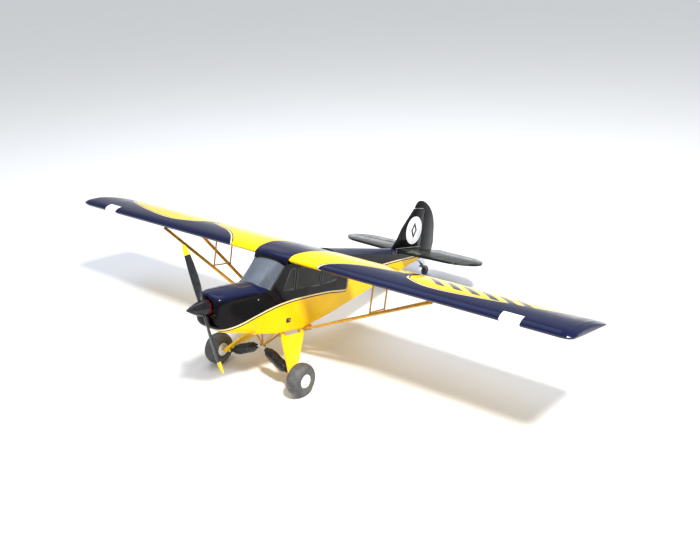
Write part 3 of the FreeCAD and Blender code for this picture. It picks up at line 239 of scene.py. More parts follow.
def crease_smooth(piece, degrees):
    """Smooth shading that stops at edges sharper than an angle."""
    limit = math.radians(degrees)
    shape = bmesh.new()
    shape.from_mesh(piece.data)
    for edge in shape.edges:
        if len(edge.link_faces) == 2:
            edge.smooth = edge.calc_face_angle(0) < limit
    for face in shape.faces:
        face.smooth = True
    shape.to_mesh(piece.data)
    shape.free()


def rounded(node, width, material):
    """A copy of a CAD node with its sharp edges rounded, which stands for the node."""
    source = NODES[node]
    mesh = source.data.copy()
    shape = bmesh.new()
    shape.from_mesh(mesh)
    bmesh.ops.remove_doubles(shape, verts=shape.verts, dist=2e-6)
    bmesh.ops.dissolve_limit(shape, angle_limit=math.radians(1.0), verts=shape.verts, edges=shape.edges)
    shape.to_mesh(mesh)
    shape.free()
    mesh.materials.clear()
    mesh.materials.append(material)
    piece = bpy.data.objects.new(node + "_body", mesh)
    bpy.context.scene.collection.objects.link(piece)
    bevel = piece.modifiers.new("edge", "BEVEL")
    bevel.width = width
    bevel.segments = 2
    bevel.limit_method = "ANGLE"
    bevel.angle_limit = math.radians(30)
    settle(piece)
    crease_smooth(piece, 40)
    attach(piece, source["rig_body"])
    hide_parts(node)
    return piece


# ---------------------------------------------------------------- material helpers

class Paint:
    """One procedural material, built by arithmetic on places and noise."""

    def __init__(self, name):
        self.material = bpy.data.materials.new(name)
        self.material.use_nodes = True
        self.tree = self.material.node_tree
        self.shader = self.tree.nodes["Principled BSDF"]
        self.place = self.add("TexCoord").outputs["Object"]
        self.axes = None

    def add(self, kind, **settings):
        made = self.tree.nodes.new("ShaderNode" + kind)
        for key, value in settings.items():
            setattr(made, key, value)
        return made

    def feed(self, socket, value):
        if isinstance(value, bpy.types.NodeSocket):
            self.tree.links.new(value, socket)
        else:
            socket.default_value = value

    def math(self, operation, *values):
        made = self.add("Math", operation=operation)
        for socket, value in zip(made.inputs, values):
            self.feed(socket, value)
        return made.outputs[0]

    def airframe(self):
        """x, y and z in the airframe frame, in metres."""
        if self.axes is None:
            turn = self.add("Mapping", vector_type="TEXTURE")
            turn.inputs["Location"].default_value = ORIGIN
            turn.inputs["Rotation"].default_value = (-PITCH, 0, 0)
            self.feed(turn.inputs["Vector"], self.place)
            parts = self.add("SeparateXYZ")
            self.feed(parts.inputs[0], turn.outputs[0])
            self.axes = tuple(parts.outputs)
        return self.axes

    def noise(self, scale, detail=3.0, stretch=(1, 1, 1), roughness=0.5):
        where = self.place
        if stretch != (1, 1, 1):
            turn = self.add("Mapping")
            turn.inputs["Scale"].default_value = stretch
            self.feed(turn.inputs["Vector"], self.place)
            where = turn.outputs[0]
        made = self.add("TexNoise")
        made.inputs["Scale"].default_value = scale
        made.inputs["Detail"].default_value = detail
        made.inputs["Roughness"].default_value = roughness
        self.feed(made.inputs["Vector"], where)
        return made.outputs["Fac"]

    def spread(self, value, low, high, from_low=0.35, from_high=0.65):
        made = self.add("MapRange")
        limits = {"From Min": from_low, "From Max": from_high, "To Min": low, "To Max": high}
        for key, number in limits.items():
            made.inputs[key].default_value = number
        self.feed(made.inputs["Value"], value)
        return made.outputs[0]

    def mix(self, share, first, second, blend="MIX"):
        made = self.add("Mix", data_type="RGBA", blend_type=blend)
        self.feed(made.inputs[0], share)
        self.feed(made.inputs[6], first)
        self.feed(made.inputs[7], second)
        return made.outputs[2]

    def within(self, value, low, high):
        over = self.math("GREATER_THAN", value, low)
        return self.math("MULTIPLY", over, self.math("LESS_THAN", value, high))

    def reach(self, first, second):
        """Straight distance from the point where two measures are both nought."""
        squares = self.math("MULTIPLY_ADD", first, first, self.math("MULTIPLY", second, second))
        return self.math("SQRT", squares)

    def curve(self, value, points):
        """A smooth curve through (input, output) points, in metres."""
        low_in, high_in = points[0][0], points[-1][0]
        low_out = min(point[1] for point in points)
        high_out = max(point[1] for point in points)
        made = self.add("FloatCurve")
        line = made.mapping.curves[0]
        scaled = [((along - low_in) / (high_in - low_in), (across - low_out) / (high_out - low_out))
                  for along, across in points]
        line.points[0].location = scaled[0]
        line.points[1].location = scaled[-1]
        for spot in scaled[1:-1]:
            line.points.new(*spot)
        for point in line.points:
            point.handle_type = "AUTO_CLAMPED"
        made.mapping.update()
        share = self.math("DIVIDE", self.math("SUBTRACT", value, low_in), high_in - low_in)
        self.feed(made.inputs["Value"], share)
        return self.math("MULTIPLY_ADD", made.outputs[0], high_out - low_out, low_out)

    def edge_distance(self, along, across, points, step=0.003):
        """How far a point lies below a drawn line, measured square to it."""
        here = self.curve(along, points)
        ahead = self.curve(self.math("ADD", along, step), points)
        slope = self.math("DIVIDE", self.math("SUBTRACT", ahead, here), step)
        length = self.math("SQRT", self.math("MULTIPLY_ADD", slope, slope, 1.0))
        return self.math("DIVIDE", self.math("SUBTRACT", here, across), length)

    def colour(self, value):
        self.feed(self.shader.inputs["Base Color"], value)

    def roughness(self, value):
        self.feed(self.shader.inputs["Roughness"], value)

    def bump(self, height, distance, strength=1.0):
        made = self.add("Bump")
        made.inputs["Strength"].default_value = strength
        made.inputs["Distance"].default_value = distance
        self.feed(made.inputs["Height"], height)
        self.feed(self.shader.inputs["Normal"], made.outputs[0])


YELLOW = (0.98, 0.62, 0.004, 1)
BLACK = (0.0015, 0.0015, 0.0025, 1)
# Painted reflection: navy that stands for the sky's sheen on the black film.
PAINTED_SKY_NAVY = (0.006, 0.009, 0.040, 1)
CREAM = (0.88, 0.74, 0.40, 1)
WHITE = (0.86, 0.87, 0.86, 1)

# The cream stripe runs beside the edge of the yellow.  These are its near and far sides, measured square
# to the edge, and how far ahead of the wing's edge it may lie along the chord.
STRIPE_NEAR = 0.004
STRIPE_FAR = 0.009
BODY_STRIPE_FAR = 0.0095
STRIPE_REACH = 0.034


def film_finish(paint, colour, sag=None):
    """Glossy covering film: slow colour drift, fine orange peel, dull handling marks and rib sag."""
    drift = paint.spread(paint.noise(5, 2), 0.0, 1.0)
    paint.colour(paint.mix(drift, colour, (0.84, 0.82, 0.86, 1), "MULTIPLY"))
    marks = paint.spread(paint.noise(38, 5, (1, 0.35, 1), 0.65), 0.0, 0.16, 0.45, 0.75)
    paint.roughness(paint.math("ADD", marks, 0.12))
    height = paint.math("MULTIPLY", paint.noise(9, 2), 0.9)
    height = paint.math("ADD", height, paint.math("MULTIPLY", paint.noise(420, 2), 0.02))
    if sag is not None:
        height = paint.math("ADD", height, sag)
    paint.bump(height, 0.0012, 0.55)
    paint.shader.inputs["Specular IOR Level"].default_value = 0.11
    paint.shader.inputs["Coat Weight"].default_value = 0.04
    paint.shader.inputs["Coat Roughness"].default_value = 0.05
    return paint.material


def black_film_with_painted_sky_sheen(paint):
    """Black film with a painted navy sky reflection blended in where the surface faces up."""
    sky_sheen_normal = paint.add("SeparateXYZ")
    paint.feed(sky_sheen_normal.inputs[0], paint.add("TexCoord").outputs["Normal"])
    # Painted reflection: the navy on up-facing faces stands for the sky's sheen on black film.
    return paint.mix(paint.spread(sky_sheen_normal.outputs["Z"], 0.0, 1.0, 0.25, 0.85), BLACK, PAINTED_SKY_NAVY)


def rib_sag(paint, along, spacing, depth, power):
    """Height of the covering, which sags between ribs that stand an even distance apart."""
    bay = paint.math("DIVIDE", paint.math("PINGPONG", along, spacing / 2), spacing / 2)
    return paint.math("MULTIPLY", paint.math("POWER", bay, power), -depth)


# Where the yellow starts behind the leading edge, as (distance from the centre plane, setback).  The
# inner panel sweeps back from the roof, and the outer one sweeps back towards the tip.
CHORD = 0.32
WING_LINE = [(0.0, -0.03), (0.175, -0.03), (0.20, 0.01), (0.30, 0.09), (0.38, 0.125), (0.43, 0.155),
             (0.45, 0.20), (0.46, CHORD), (0.47, CHORD), (0.475, 0.20), (0.485, 0.12), (0.52, 0.08),
             (0.60, 0.06), (0.72, 0.075), (0.88, 0.13), (0.97, 0.19), (1.01, 0.25), (1.03, CHORD),
             (1.085, CHORD)]

# Edge of the dark roof over the wing roots, as (setback, distance from the centre plane).
ROOF_LINE = [(-0.02, 0.074), (0.03, 0.08), (0.10, 0.09), (0.18, 0.096), (CHORD, 0.098)]

WING_RIB_SPACING = 0.085
SHEETING_END = 0.088
BAR_SLANT = 0.9
BAR_SPACING = 0.062
BAR_SPAN = (0.682, 1.054)
BAR_CHORD = (0.098, 0.196)


def wing_paint():
    """Yellow panels and black panels painted navy all over as a painted sky reflection, with a cream stripe
    between them, and the dark roof over the roots.
    """
    paint = Paint("wing_film")
    x, y, _ = paint.airframe()
    span = paint.math("ABSOLUTE", x)
    away = paint.edge_distance(span, y, WING_LINE)
    dark = paint.math("GREATER_THAN", away, 0.0)
    ahead = paint.math("SUBTRACT", paint.curve(span, WING_LINE), y)
    stripe = paint.math("MULTIPLY", paint.within(away, STRIPE_NEAR, STRIPE_FAR),
                        paint.math("LESS_THAN", ahead, STRIPE_REACH))
    # The black panels are painted navy throughout, as a painted sky reflection.
    colour = paint.mix(dark, YELLOW, PAINTED_SKY_NAVY)
    colour = paint.mix(stripe, colour, CREAM)
    roof = paint.math("LESS_THAN", span, paint.curve(y, ROOF_LINE))
    # The roof is black film with a painted navy sky reflection on its up-facing parts.
    colour = paint.mix(roof, colour, black_film_with_painted_sky_sheen(paint))
    # A row of slanted bars stands on the port panel only.
    slant = paint.math("MULTIPLY_ADD", y, BAR_SLANT, x)
    beat = paint.math("FRACT", paint.math("DIVIDE", slant, BAR_SPACING))
    bars = paint.math("MULTIPLY", paint.within(slant, *BAR_SPAN), paint.math("LESS_THAN", beat, 0.5))
    bars = paint.math("MULTIPLY", bars, paint.within(y, *BAR_CHORD))
    colour = paint.mix(bars, colour, BLACK)
    sag = rib_sag(paint, span, WING_RIB_SPACING, 0.5, 0.5)
    sag = paint.math("MULTIPLY", sag, paint.math("GREATER_THAN", y, SHEETING_END))
    return film_finish(paint, colour, sag)


# Height of the line between black and yellow along the fuselage, as (station, height).  It climbs
# gently from the cowl to the cabin, and steps up behind the cabin.
FUSELAGE_LINE = [(-0.30, -0.24), (-0.20, -0.224), (-0.12, -0.203), (-0.05, -0.184), (0.01, -0.172),
                 (0.10, -0.163), (0.25, -0.16), (0.372, -0.166), (0.38, -0.16), (0.386, -0.122),
                 (0.396, -0.115), (0.60, -0.095), (0.96, -0.08)]

FORMER_SPACING = 0.110
CABIN_END = 0.31


def two_tone(paint, y, z):
    """Black above the drawn line, with a painted navy sky reflection where it faces up, and yellow below it,
    with a cream stripe just above the line.
    """
    above = paint.math("MULTIPLY", paint.edge_distance(y, z, FUSELAGE_LINE), -1.0)
    colour = paint.mix(paint.math("GREATER_THAN", above, 0.0), YELLOW, black_film_with_painted_sky_sheen(paint))
    return paint.mix(paint.within(above, STRIPE_NEAR, BODY_STRIPE_FAR), colour, CREAM)


def fuselage_paint():
    paint = Paint("fuselage_film")
    _, y, z = paint.airframe()
    sag = rib_sag(paint, y, FORMER_SPACING, 0.35, 0.5)
    sag = paint.math("MULTIPLY", sag, paint.math("GREATER_THAN", y, CABIN_END))
    return film_finish(paint, two_tone(paint, y, z), sag)


# An access hatch on top of the cowl, in metres.
HATCH_HALF_WIDTH = 0.024
HATCH_HALF_LENGTH = 0.030
HATCH_MIDDLE = -0.138
HATCH_SEAM = 0.0012
CROWN_START = -0.130
SEAM_BROWN = (0.30, 0.17, 0.02, 1)


def cowl_paint():
    paint = Paint("cowl_paint")
    x, y, z = paint.airframe()
    side = paint.math("SUBTRACT", paint.math("ABSOLUTE", x), HATCH_HALF_WIDTH)
    ends = paint.math("SUBTRACT", paint.math("ABSOLUTE", paint.math("SUBTRACT", y, HATCH_MIDDLE)),
                      HATCH_HALF_LENGTH)
    seam = paint.within(paint.math("MAXIMUM", side, ends), -HATCH_SEAM, 0.0)
    seam = paint.math("MULTIPLY", seam, paint.math("GREATER_THAN", z, CROWN_START))
    colour = paint.mix(seam, two_tone(paint, y, z), SEAM_BROWN)
    return film_finish(paint, colour, paint.math("MULTIPLY", seam, -0.6))


DISC = Vector((0, 0.883, 0.038))
DISC_RADIUS = 0.060
LOZENGE_RING = (0.018, 0.036)
LOZENGE_SLIMNESS = 1.7
FIN_RIB_SPACING = 0.044

# Sag of the film between the ribs of the flat tail surfaces, as its depth and its power.
PLATE_SAG = (0.8, 0.45)


def tail_paint():
    """Fin and rudder: black, with a white disc that bears a plain lozenge in a ring."""
    paint = Paint("fin_film")
    _, y, z = paint.airframe()
    across = paint.math("SUBTRACT", y, DISC.y)
    rise = paint.math("SUBTRACT", z, DISC.z)
    inside = paint.math("LESS_THAN", paint.reach(across, rise), DISC_RADIUS)
    colour = paint.mix(inside, BLACK, WHITE)
    lozenge = paint.math("MULTIPLY_ADD", paint.math("ABSOLUTE", across), LOZENGE_SLIMNESS,
                         paint.math("ABSOLUTE", rise))
    colour = paint.mix(paint.within(lozenge, *LOZENGE_RING), colour, BLACK)
    return film_finish(paint, colour, rib_sag(paint, z, FIN_RIB_SPACING, *PLATE_SAG))


# The stabilizer's wooden frame, in metres: ribs, the spar at the hinge line, and the outer rim.
STAB_RIB_SPACING = 0.054
STAB_RIB_HALF_WIDTH = 0.003
STAB_SPAR = 0.912
STAB_SPAR_HALF_WIDTH = 0.014
STAB_RIM_REACH = 0.309
STAB_RIM_FRONT = 0.793


def stab_paint():
    """Stabilizer and elevator: thin smoky film through which the frame shows."""
    paint = Paint("stabilizer_film")
    x, y, _ = paint.airframe()
    span = paint.math("ABSOLUTE", x)
    bay = paint.math("PINGPONG", span, STAB_RIB_SPACING / 2)
    rib = paint.math("LESS_THAN", bay, STAB_RIB_HALF_WIDTH)
    from_spar = paint.math("ABSOLUTE", paint.math("SUBTRACT", y, STAB_SPAR))
    solid = paint.math("MAXIMUM", rib, paint.math("LESS_THAN", from_spar, STAB_SPAR_HALF_WIDTH))
    solid = paint.math("MAXIMUM", solid, paint.math("GREATER_THAN", span, STAB_RIM_REACH))
    solid = paint.math("MAXIMUM", solid, paint.math("LESS_THAN", y, STAB_RIM_FRONT))
    colour = paint.mix(solid, (0.050, 0.056, 0.044, 1), (0.012, 0.014, 0.014, 1))
    return film_finish(paint, colour, rib_sag(paint, span, STAB_RIB_SPACING, *PLATE_SAG))


def gloss_paint(name, colour, second, roughness=0.18, coat=0.1, shine=0.35):
    """Sprayed or dipped colour with soft blotches, dull specks and faint ripples."""
    paint = Paint(name)
    blotch = paint.spread(paint.noise(26, 4), 0.0, 1.0)
    paint.colour(paint.mix(blotch, colour, second))
    paint.roughness(paint.spread(paint.noise(90, 4), roughness, roughness + 0.16))
    paint.bump(paint.noise(160, 3), 0.0003, 0.4)
    paint.shader.inputs["Specular IOR Level"].default_value = shine
    paint.shader.inputs["Coat Weight"].default_value = coat
    paint.shader.inputs["Coat Roughness"].default_value = 0.08
    return paint.material


# The stub axle and its white cap lie outside the fairing, beyond this distance from the centre plane.
FAIRING_REACH = 0.166
CAP_REACH = 0.2185


def leg_paint():
    """Yellow fairing with a bare axle and a white cap."""
    paint = Paint("leg_yellow")
    span = paint.math("ABSOLUTE", paint.airframe()[0])
    blotch = paint.spread(paint.noise(26, 4), 0.0, 1.0)
    colour = paint.mix(blotch, YELLOW, (0.90, 0.55, 0.006, 1))
    colour = paint.mix(paint.math("GREATER_THAN", span, FAIRING_REACH), colour, (0.55, 0.55, 0.56, 1))
    paint.colour(paint.mix(paint.math("GREATER_THAN", span, CAP_REACH), colour, WHITE))
    paint.roughness(paint.spread(paint.noise(90, 4), 0.18, 0.34))
    paint.bump(paint.noise(160, 3), 0.0003, 0.4)
    return paint.material


def metal_paint(name, colour, roughness=0.28, stretch=(1, 1, 14)):
    paint = Paint(name)
    paint.shader.inputs["Metallic"].default_value = 1.0
    grain = paint.noise(160, 4, stretch)
    paint.colour(paint.mix(paint.spread(grain, 0, 1), colour, tuple(c * 0.72 for c in colour[:3]) + (1,)))
    paint.roughness(paint.spread(grain, roughness, roughness + 0.16))
    paint.bump(grain, 0.0002, 0.35)
    return paint.material


def rubber_paint(name, colour, dust, roughness=0.62):
    paint = Paint(name)
    worn = paint.spread(paint.noise(34, 5, (1, 1, 1), 0.62), 0.0, 1.0, 0.4, 0.66)
    paint.colour(paint.mix(worn, colour, dust))
    paint.roughness(paint.spread(paint.noise(120, 4), roughness - 0.1, roughness + 0.14))
    grain = paint.math("ADD", paint.noise(900, 3), paint.math("MULTIPLY", paint.noise(120, 2), 0.7))
    paint.bump(grain, 0.0004, 0.5)
    return paint.material


def vinyl_paint():
    paint = Paint("shock_vinyl")
    fold = paint.noise(70, 5, (1, 1, 1), 0.6)
    paint.colour(paint.mix(paint.spread(fold, 0, 1), (0.004, 0.004, 0.005, 1), (0.014, 0.014, 0.016, 1)))
    paint.roughness(paint.spread(paint.noise(150, 4), 0.20, 0.42))
    paint.bump(fold, 0.0016, 0.8)
    paint.shader.inputs["Specular IOR Level"].default_value = 0.3
    paint.shader.inputs["Coat Weight"].default_value = 0.1
    return paint.material


def moulded_paint(name, colour, roughness=0.45):
    paint = Paint(name)
    paint.colour(paint.mix(paint.spread(paint.noise(40, 4), 0, 1), colour,
                           tuple(min(1, c * 1.35 + 0.01) for c in colour[:3]) + (1,)))
    paint.roughness(paint.spread(paint.noise(300, 3), roughness - 0.08, roughness + 0.12))
    paint.bump(paint.noise(1400, 2), 0.0002, 0.4)
    return paint.material


def plywood_paint():
    paint = Paint("plywood")
    grain = paint.noise(60, 6, (1, 9, 1), 0.6)
    paint.colour(paint.mix(paint.spread(grain, 0, 1), (0.62, 0.44, 0.24, 1), (0.42, 0.27, 0.13, 1)))
    paint.roughness(paint.spread(grain, 0.55, 0.75))
    paint.bump(grain, 0.0004, 0.5)
    return paint.material


def glass_paint(name, tint, body_share, roughness=0.04):
    """Thin clear plastic: part see-through, part glossy, with faint smears."""
    paint = Paint(name)
    smear = paint.noise(22, 4, (1, 1, 0.3), 0.6)
    paint.colour(paint.mix(paint.spread(smear, 0, 1), tint, tuple(c * 0.85 for c in tint[:3]) + (1,)))
    paint.roughness(paint.spread(smear, roughness, roughness + 0.10))
    clear = paint.add("BsdfTransparent")
    clear.inputs["Color"].default_value = (0.93, 0.95, 0.96, 1)
    rim = paint.add("LayerWeight")
    rim.inputs["Blend"].default_value = 0.35
    share = paint.math("MULTIPLY_ADD", rim.outputs["Fresnel"], 0.30, body_share)
    blend = paint.add("MixShader")
    paint.feed(blend.inputs[0], share)
    paint.feed(blend.inputs[1], clear.outputs[0])
    paint.feed(blend.inputs[2], paint.shader.outputs[0])
    paint.feed(paint.tree.nodes["Material Output"].inputs["Surface"], blend.outputs[0])
    paint.shader.inputs["Specular IOR Level"].default_value = 0.3
    return paint.material


TIP_COLOUR_RADIUS = 0.178


def blade_paint():
    """Dark moulded blades with yellow tips, told apart by the distance from the shaft."""
    paint = Paint("blade_composite")
    x, _, z = paint.airframe()
    reach = paint.reach(x, paint.math("SUBTRACT", z, THRUST_LINE / 1000))
    grain = paint.noise(90, 5, (1, 1, 1), 0.6)
    dark = paint.mix(paint.spread(grain, 0, 1), (0.010, 0.011, 0.013, 1), (0.022, 0.024, 0.028, 1))
    paint.shader.inputs["Specular IOR Level"].default_value = 0.3
    paint.colour(paint.mix(paint.math("GREATER_THAN", reach, TIP_COLOUR_RADIUS), dark, YELLOW))
    paint.roughness(paint.spread(grain, 0.26, 0.42))
    paint.bump(paint.noise(700, 3), 0.0002, 0.4)
    return paint.material


WING_FILM = wing_paint()
FUSELAGE_FILM = fuselage_paint()
COWL_PAINT = cowl_paint()
TAIL_FILM = tail_paint()
STAB_FILM = stab_paint()
STRUT_PAINT = gloss_paint("strut_gold", (0.62, 0.34, 0.02, 1), (0.48, 0.24, 0.02, 1), 0.22)
BRACKET_PAINT = gloss_paint("bracket_gold", (0.50, 0.26, 0.03, 1), (0.34, 0.17, 0.03, 1), 0.30)
LEG_PAINT = leg_paint()
SPINNER_PAINT = gloss_paint("spinner_black", (0.004, 0.004, 0.005, 1), (0.012, 0.012, 0.014, 1), 0.10, 0.08,
                            0.22)
TUBE_PAINT = gloss_paint("tube_black", (0.010, 0.010, 0.012, 1), (0.024, 0.024, 0.028, 1), 0.24)
STEEL = metal_paint("bright_steel", (0.62, 0.62, 0.64, 1))
DARK_STEEL = metal_paint("dark_steel", (0.20, 0.20, 0.21, 1), 0.34)
ALUMINIUM = metal_paint("aluminium", (0.78, 0.78, 0.80, 1), 0.24, (14, 1, 1))
RED_METAL = metal_paint("red_anodised", (0.62, 0.015, 0.02, 1), 0.22)
MOTOR_METAL = metal_paint("motor_metal", (0.16, 0.16, 0.18, 1), 0.34)
TYRE_RUBBER = rubber_paint("tyre_rubber", (0.060, 0.060, 0.063, 1), (0.115, 0.112, 0.108, 1))
TAIL_RUBBER = rubber_paint("tail_tyre", (0.020, 0.020, 0.021, 1), (0.045, 0.044, 0.043, 1), 0.55)
HUB_PLASTIC = moulded_paint("hub_plastic", (0.70, 0.70, 0.69, 1), 0.34)
SERVO_PLASTIC = moulded_paint("servo_plastic", (0.018, 0.018, 0.020, 1))
NYLON = moulded_paint("hinge_nylon", (0.62, 0.62, 0.60, 1), 0.5)
INTERIOR = moulded_paint("interior_plastic", (0.030, 0.030, 0.034, 1), 0.6)
BATTERY_WRAP = moulded_paint("battery_wrap", (0.04, 0.07, 0.24, 1), 0.3)
CONTROLLER_WRAP = moulded_paint("controller_wrap", (0.02, 0.02, 0.02, 1), 0.3)
LIGHT_LENS = moulded_paint("light_lens", (0.84, 0.85, 0.84, 1), 0.16)
VINYL = vinyl_paint()
PLYWOOD = plywood_paint()
CLEAR = glass_paint("clear_plastic", (0.30, 0.34, 0.42, 1), 0.14)
SMOKED = glass_paint("smoked_plastic", (0.010, 0.013, 0.012, 1), 0.62)
BLADE_PAINT = blade_paint()

PAINTED = {
    WING_FILM: ["wing_left", "wing_right", "flap_left", "flap_right", "aileron_left", "aileron_right",
                "roof_fairing"],
    FUSELAGE_FILM: ["fuselage_shell", "battery_hatch"],
    COWL_PAINT: ["cowl"],
    TAIL_FILM: ["fin", "rudder"],
    STAB_FILM: ["stabilizer", "elevator"],
    STRUT_PAINT: ["lift_struts_left", "lift_struts_right", "jury_struts_left", "jury_struts_right",
                  "cabane_struts"],
    BRACKET_PAINT: ["strut_fittings", "gear_brackets"],
    LEG_PAINT: ["gear_leg_left", "gear_leg_right"],
    TUBE_PAINT: ["cabin_tubes"],
    STEEL: ["cowl_screws", "prop_nut", "shock_rod_left", "shock_rod_right", "elevator_pushrod",
            "rudder_pushrod"],
    DARK_STEEL: ["tail_spring", "tailwheel_fork"],
    ALUMINIUM: ["wing_joiner_tube"],
    RED_METAL: ["spinner_backplate"],
    MOTOR_METAL: ["motor_stator", "motor_rotor"],
    SPINNER_PAINT: ["spinner"],
    TYRE_RUBBER: ["tyre_left", "tyre_right"],
    TAIL_RUBBER: ["tailwheel"],
    HUB_PLASTIC: ["wheel_hub_left", "wheel_hub_right"],
    SERVO_PLASTIC: ["servos", "receiver", "switch_plate", "switch_slider", "elevator_servo_arm",
                    "rudder_servo_arm"],
    NYLON: ["control_hinges"],
    INTERIOR: ["instrument_panel"],
    BATTERY_WRAP: ["battery"],
    CONTROLLER_WRAP: ["speed_controller"],
    LIGHT_LENS: ["landing_lights"],
    VINYL: ["shock_cover_left", "shock_cover_right"],
    PLYWOOD: ["firewall", "radio_tray"],
    CLEAR: ["windshield"],
    SMOKED: ["cabin_windows"],
    BLADE_PAINT: ["propeller"],
}

MATERIAL_OF = {}
for material, names in PAINTED.items():
    for name in names:
        MATERIAL_OF[name] = material
        NODES[name].data.materials.clear()
        NODES[name].data.materials.append(material)


# ---------------------------------------------------------------- pieces that replace plain shapes

def bodied(name):
    return NODES[name]["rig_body"]


def stand_for(name, shape, crease=None):
    """A new piece in place of one CAD node, with its body and material; crease is in degrees."""
    points, faces = shape
    piece = new_piece(name + "_made", points, faces, MATERIAL_OF[name], bodied(name))
    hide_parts(name)
    if crease is not None:
        crease_smooth(piece, crease)
    return piece


PROP_CENTRE = at(0, BLADE_STATION, THRUST_LINE)
PROP_CLOCK = math.radians(-31)

# A blade at shares of its length, as (share, chord, thickness, pitch in degrees, sweep).
BLADE = [(0.05, 18, 12, 38, 0), (0.16, 21, 8.4, 34, 1), (0.36, 28, 5.4, 24, 3), (0.62, 29, 3.8, 16, 2),
         (0.84, 23.5, 2.8, 12, -1), (0.95, 16, 2, 10, -4), (0.985, 10, 1.5, 10, -5.6),
         (1.0, 2.5, 0.8, 10, -7)]
BLADE_LENGTH = 216
BLADE_STATIONS = 44
BLADE_POINTS = 32


def about_shaft(x, y, z, turn):
    """A point drawn with the blade along z, turned about the propeller shaft."""
    return at(x * math.cos(turn) + z * math.sin(turn), BLADE_STATION + y,
              z * math.cos(turn) - x * math.sin(turn) + THRUST_LINE)


def blade_shape(turn):
    rings = []
    for station in range(BLADE_STATIONS + 1):
        share = 0.05 + 0.95 * math.sin(math.pi / 2 * station / BLADE_STATIONS)
        chord, thickness, pitch, sweep = smooth_table(BLADE, share)
        pitch = math.radians(pitch)
        ring = []
        for step in range(BLADE_POINTS):
            angle = 2 * math.pi * step / BLADE_POINTS
            across = -chord / 2 * math.cos(angle)
            side = 0.65 if step < BLADE_POINTS / 2 else 0.35
            nose = 1 + 0.25 * math.cos(angle)
            height = -thickness * side * math.sin(angle) * nose
            ring.append(about_shaft(across * math.cos(pitch) - height * math.sin(pitch) + sweep,
                                    across * math.sin(pitch) + height * math.cos(pitch),
                                    share * BLADE_LENGTH, turn))
        rings.append(ring)
    return skin_rings(rings)


def make_propeller():
    hub = [(0.0041, -0.008), (0.0125, -0.008), (0.0137, -0.0073), (0.014, -0.006), (0.014, 0.006),
           (0.0137, 0.0073), (0.0125, 0.008), (0.0041, 0.008)]
    shapes = [blade_shape(PROP_CLOCK), blade_shape(PROP_CLOCK + math.pi),
              hoop(hub, PROP_CENTRE, joint_axis("propeller_spin"), 48)]
    stand_for("propeller", together(shapes), 50)


SPINNER_RADIUS = 28
SPINNER_LENGTH = 79
SPINNER_WALL = 1.8
SPINNER_TIP_WALL = 8
SPINNER_FULLNESS = 1.58

# The opening for a blade: half its width, the aft and fore ends of its straight sides, and how far its
# round front reaches beyond them.
SLOT_HALF_WIDTH = 13.5
SLOT_AFT = 8.5
SLOT_FORE = 0.5
SLOT_NOSE = 8


def make_spinner():
    """A pointed shell with a round-fronted opening for each blade."""
    outer = []
    inner = []
    for step in range(41):
        share = step / 40
        fullness = 1 - share ** SPINNER_FULLNESS
        outer.append((SPINNER_RADIUS * fullness / 1000, SPINNER_LENGTH * share / 1000))
        inner.append(((SPINNER_RADIUS - SPINNER_WALL) * fullness / 1000,
                      (SPINNER_LENGTH - SPINNER_TIP_WALL) * share / 1000))
    base = at(0, SPINNER_STATION, THRUST_LINE)
    rings = lathe_rings(outer, base, joint_axis("propeller_spin"), 96)
    lining = lathe_rings(inner, base, joint_axis("propeller_spin"), 96)
    piece = stand_for("spinner", skin_rings(rings[::-1] + lining, capped=False))
    outline = [(-SLOT_HALF_WIDTH, SLOT_AFT)]
    for step in range(13):
        angle = math.pi * step / 12
        outline.append((-SLOT_HALF_WIDTH * math.cos(angle), SLOT_FORE - SLOT_NOSE * math.sin(angle)))
    outline.append((SLOT_HALF_WIDTH, SLOT_AFT))
    carve(piece, [skin_rings([[about_shaft(x, y, reach, PROP_CLOCK) for x, y in outline]
                              for reach in (-60, 60)])])
    crease_smooth(piece, 35)


# Half sections as (radius, distance from the middle plane), from the bore outwards or the rim inwards.
TYRE_SIDE = [(24.0, 20.2), (26.5, 23.4), (30.0, 25.0), (31.2, 26.0), (32.6, 25.5), (38.0, 26.0), (43.5, 25.2),
             (44.8, 25.4), (46.2, 24.0), (51.0, 20.6), (55.2, 14.0), (57.4, 7.0), (58.0, 0.0)]
HUB_SIDE = [(22.0, 22.6), (20.6, 21.4), (19.4, 18.2), (16.0, 17.6), (12.6, 18.4), (10.4, 20.6), (9.2, 22.6),
            (7.0, 23.0)]
TYRE_BORE = 0.024
HUB_BORE = 0.00408
HUB_HALF_WIDTH = 0.023
LUG_COUNT = 5
LUG_CIRCLE = 0.0148
LUG_SEAT = 0.0172
LUG_HEAD = [(0, 0.0034), (0.0016, 0.0034), (0.0022, 0.0028), (0.0022, 0.0), (0, 0.0)]


def make_wheel(side):
    sign = 1 if side == "left" else -1
    centre = joint_place(f"wheel_{side}_spin")
    axle = joint_axis(f"wheel_{side}_spin") * sign
    half = fine_profile(TYRE_SIDE)
    ring = half + [(radius, -height) for radius, height in half[-2::-1]]
    ring += [(TYRE_BORE, height) for height in (-0.008, 0.0, 0.008)]
    stand_for("tyre_" + side, hoop(ring, centre, axle, 112), 60)
    face = fine_profile([(24.0, 20.0), (23.6, 22.2)] + HUB_SIDE, 4)
    body = [(HUB_BORE, HUB_HALF_WIDTH)] + face[::-1]
    body += [(radius, -height) for radius, height in face] + [(HUB_BORE, -HUB_HALF_WIDTH)]
    shapes = [hoop(body, centre, axle, 80)]
    across, upward = side_axes(axle)
    for lug in range(LUG_COUNT):
        angle = 2 * math.pi * lug / LUG_COUNT
        outward = across * math.cos(angle) + upward * math.sin(angle)
        shapes.append(turned(LUG_HEAD, centre + outward * LUG_CIRCLE + axle * LUG_SEAT, axle, 18))
    stand_for("wheel_hub_" + side, together(shapes), 40)


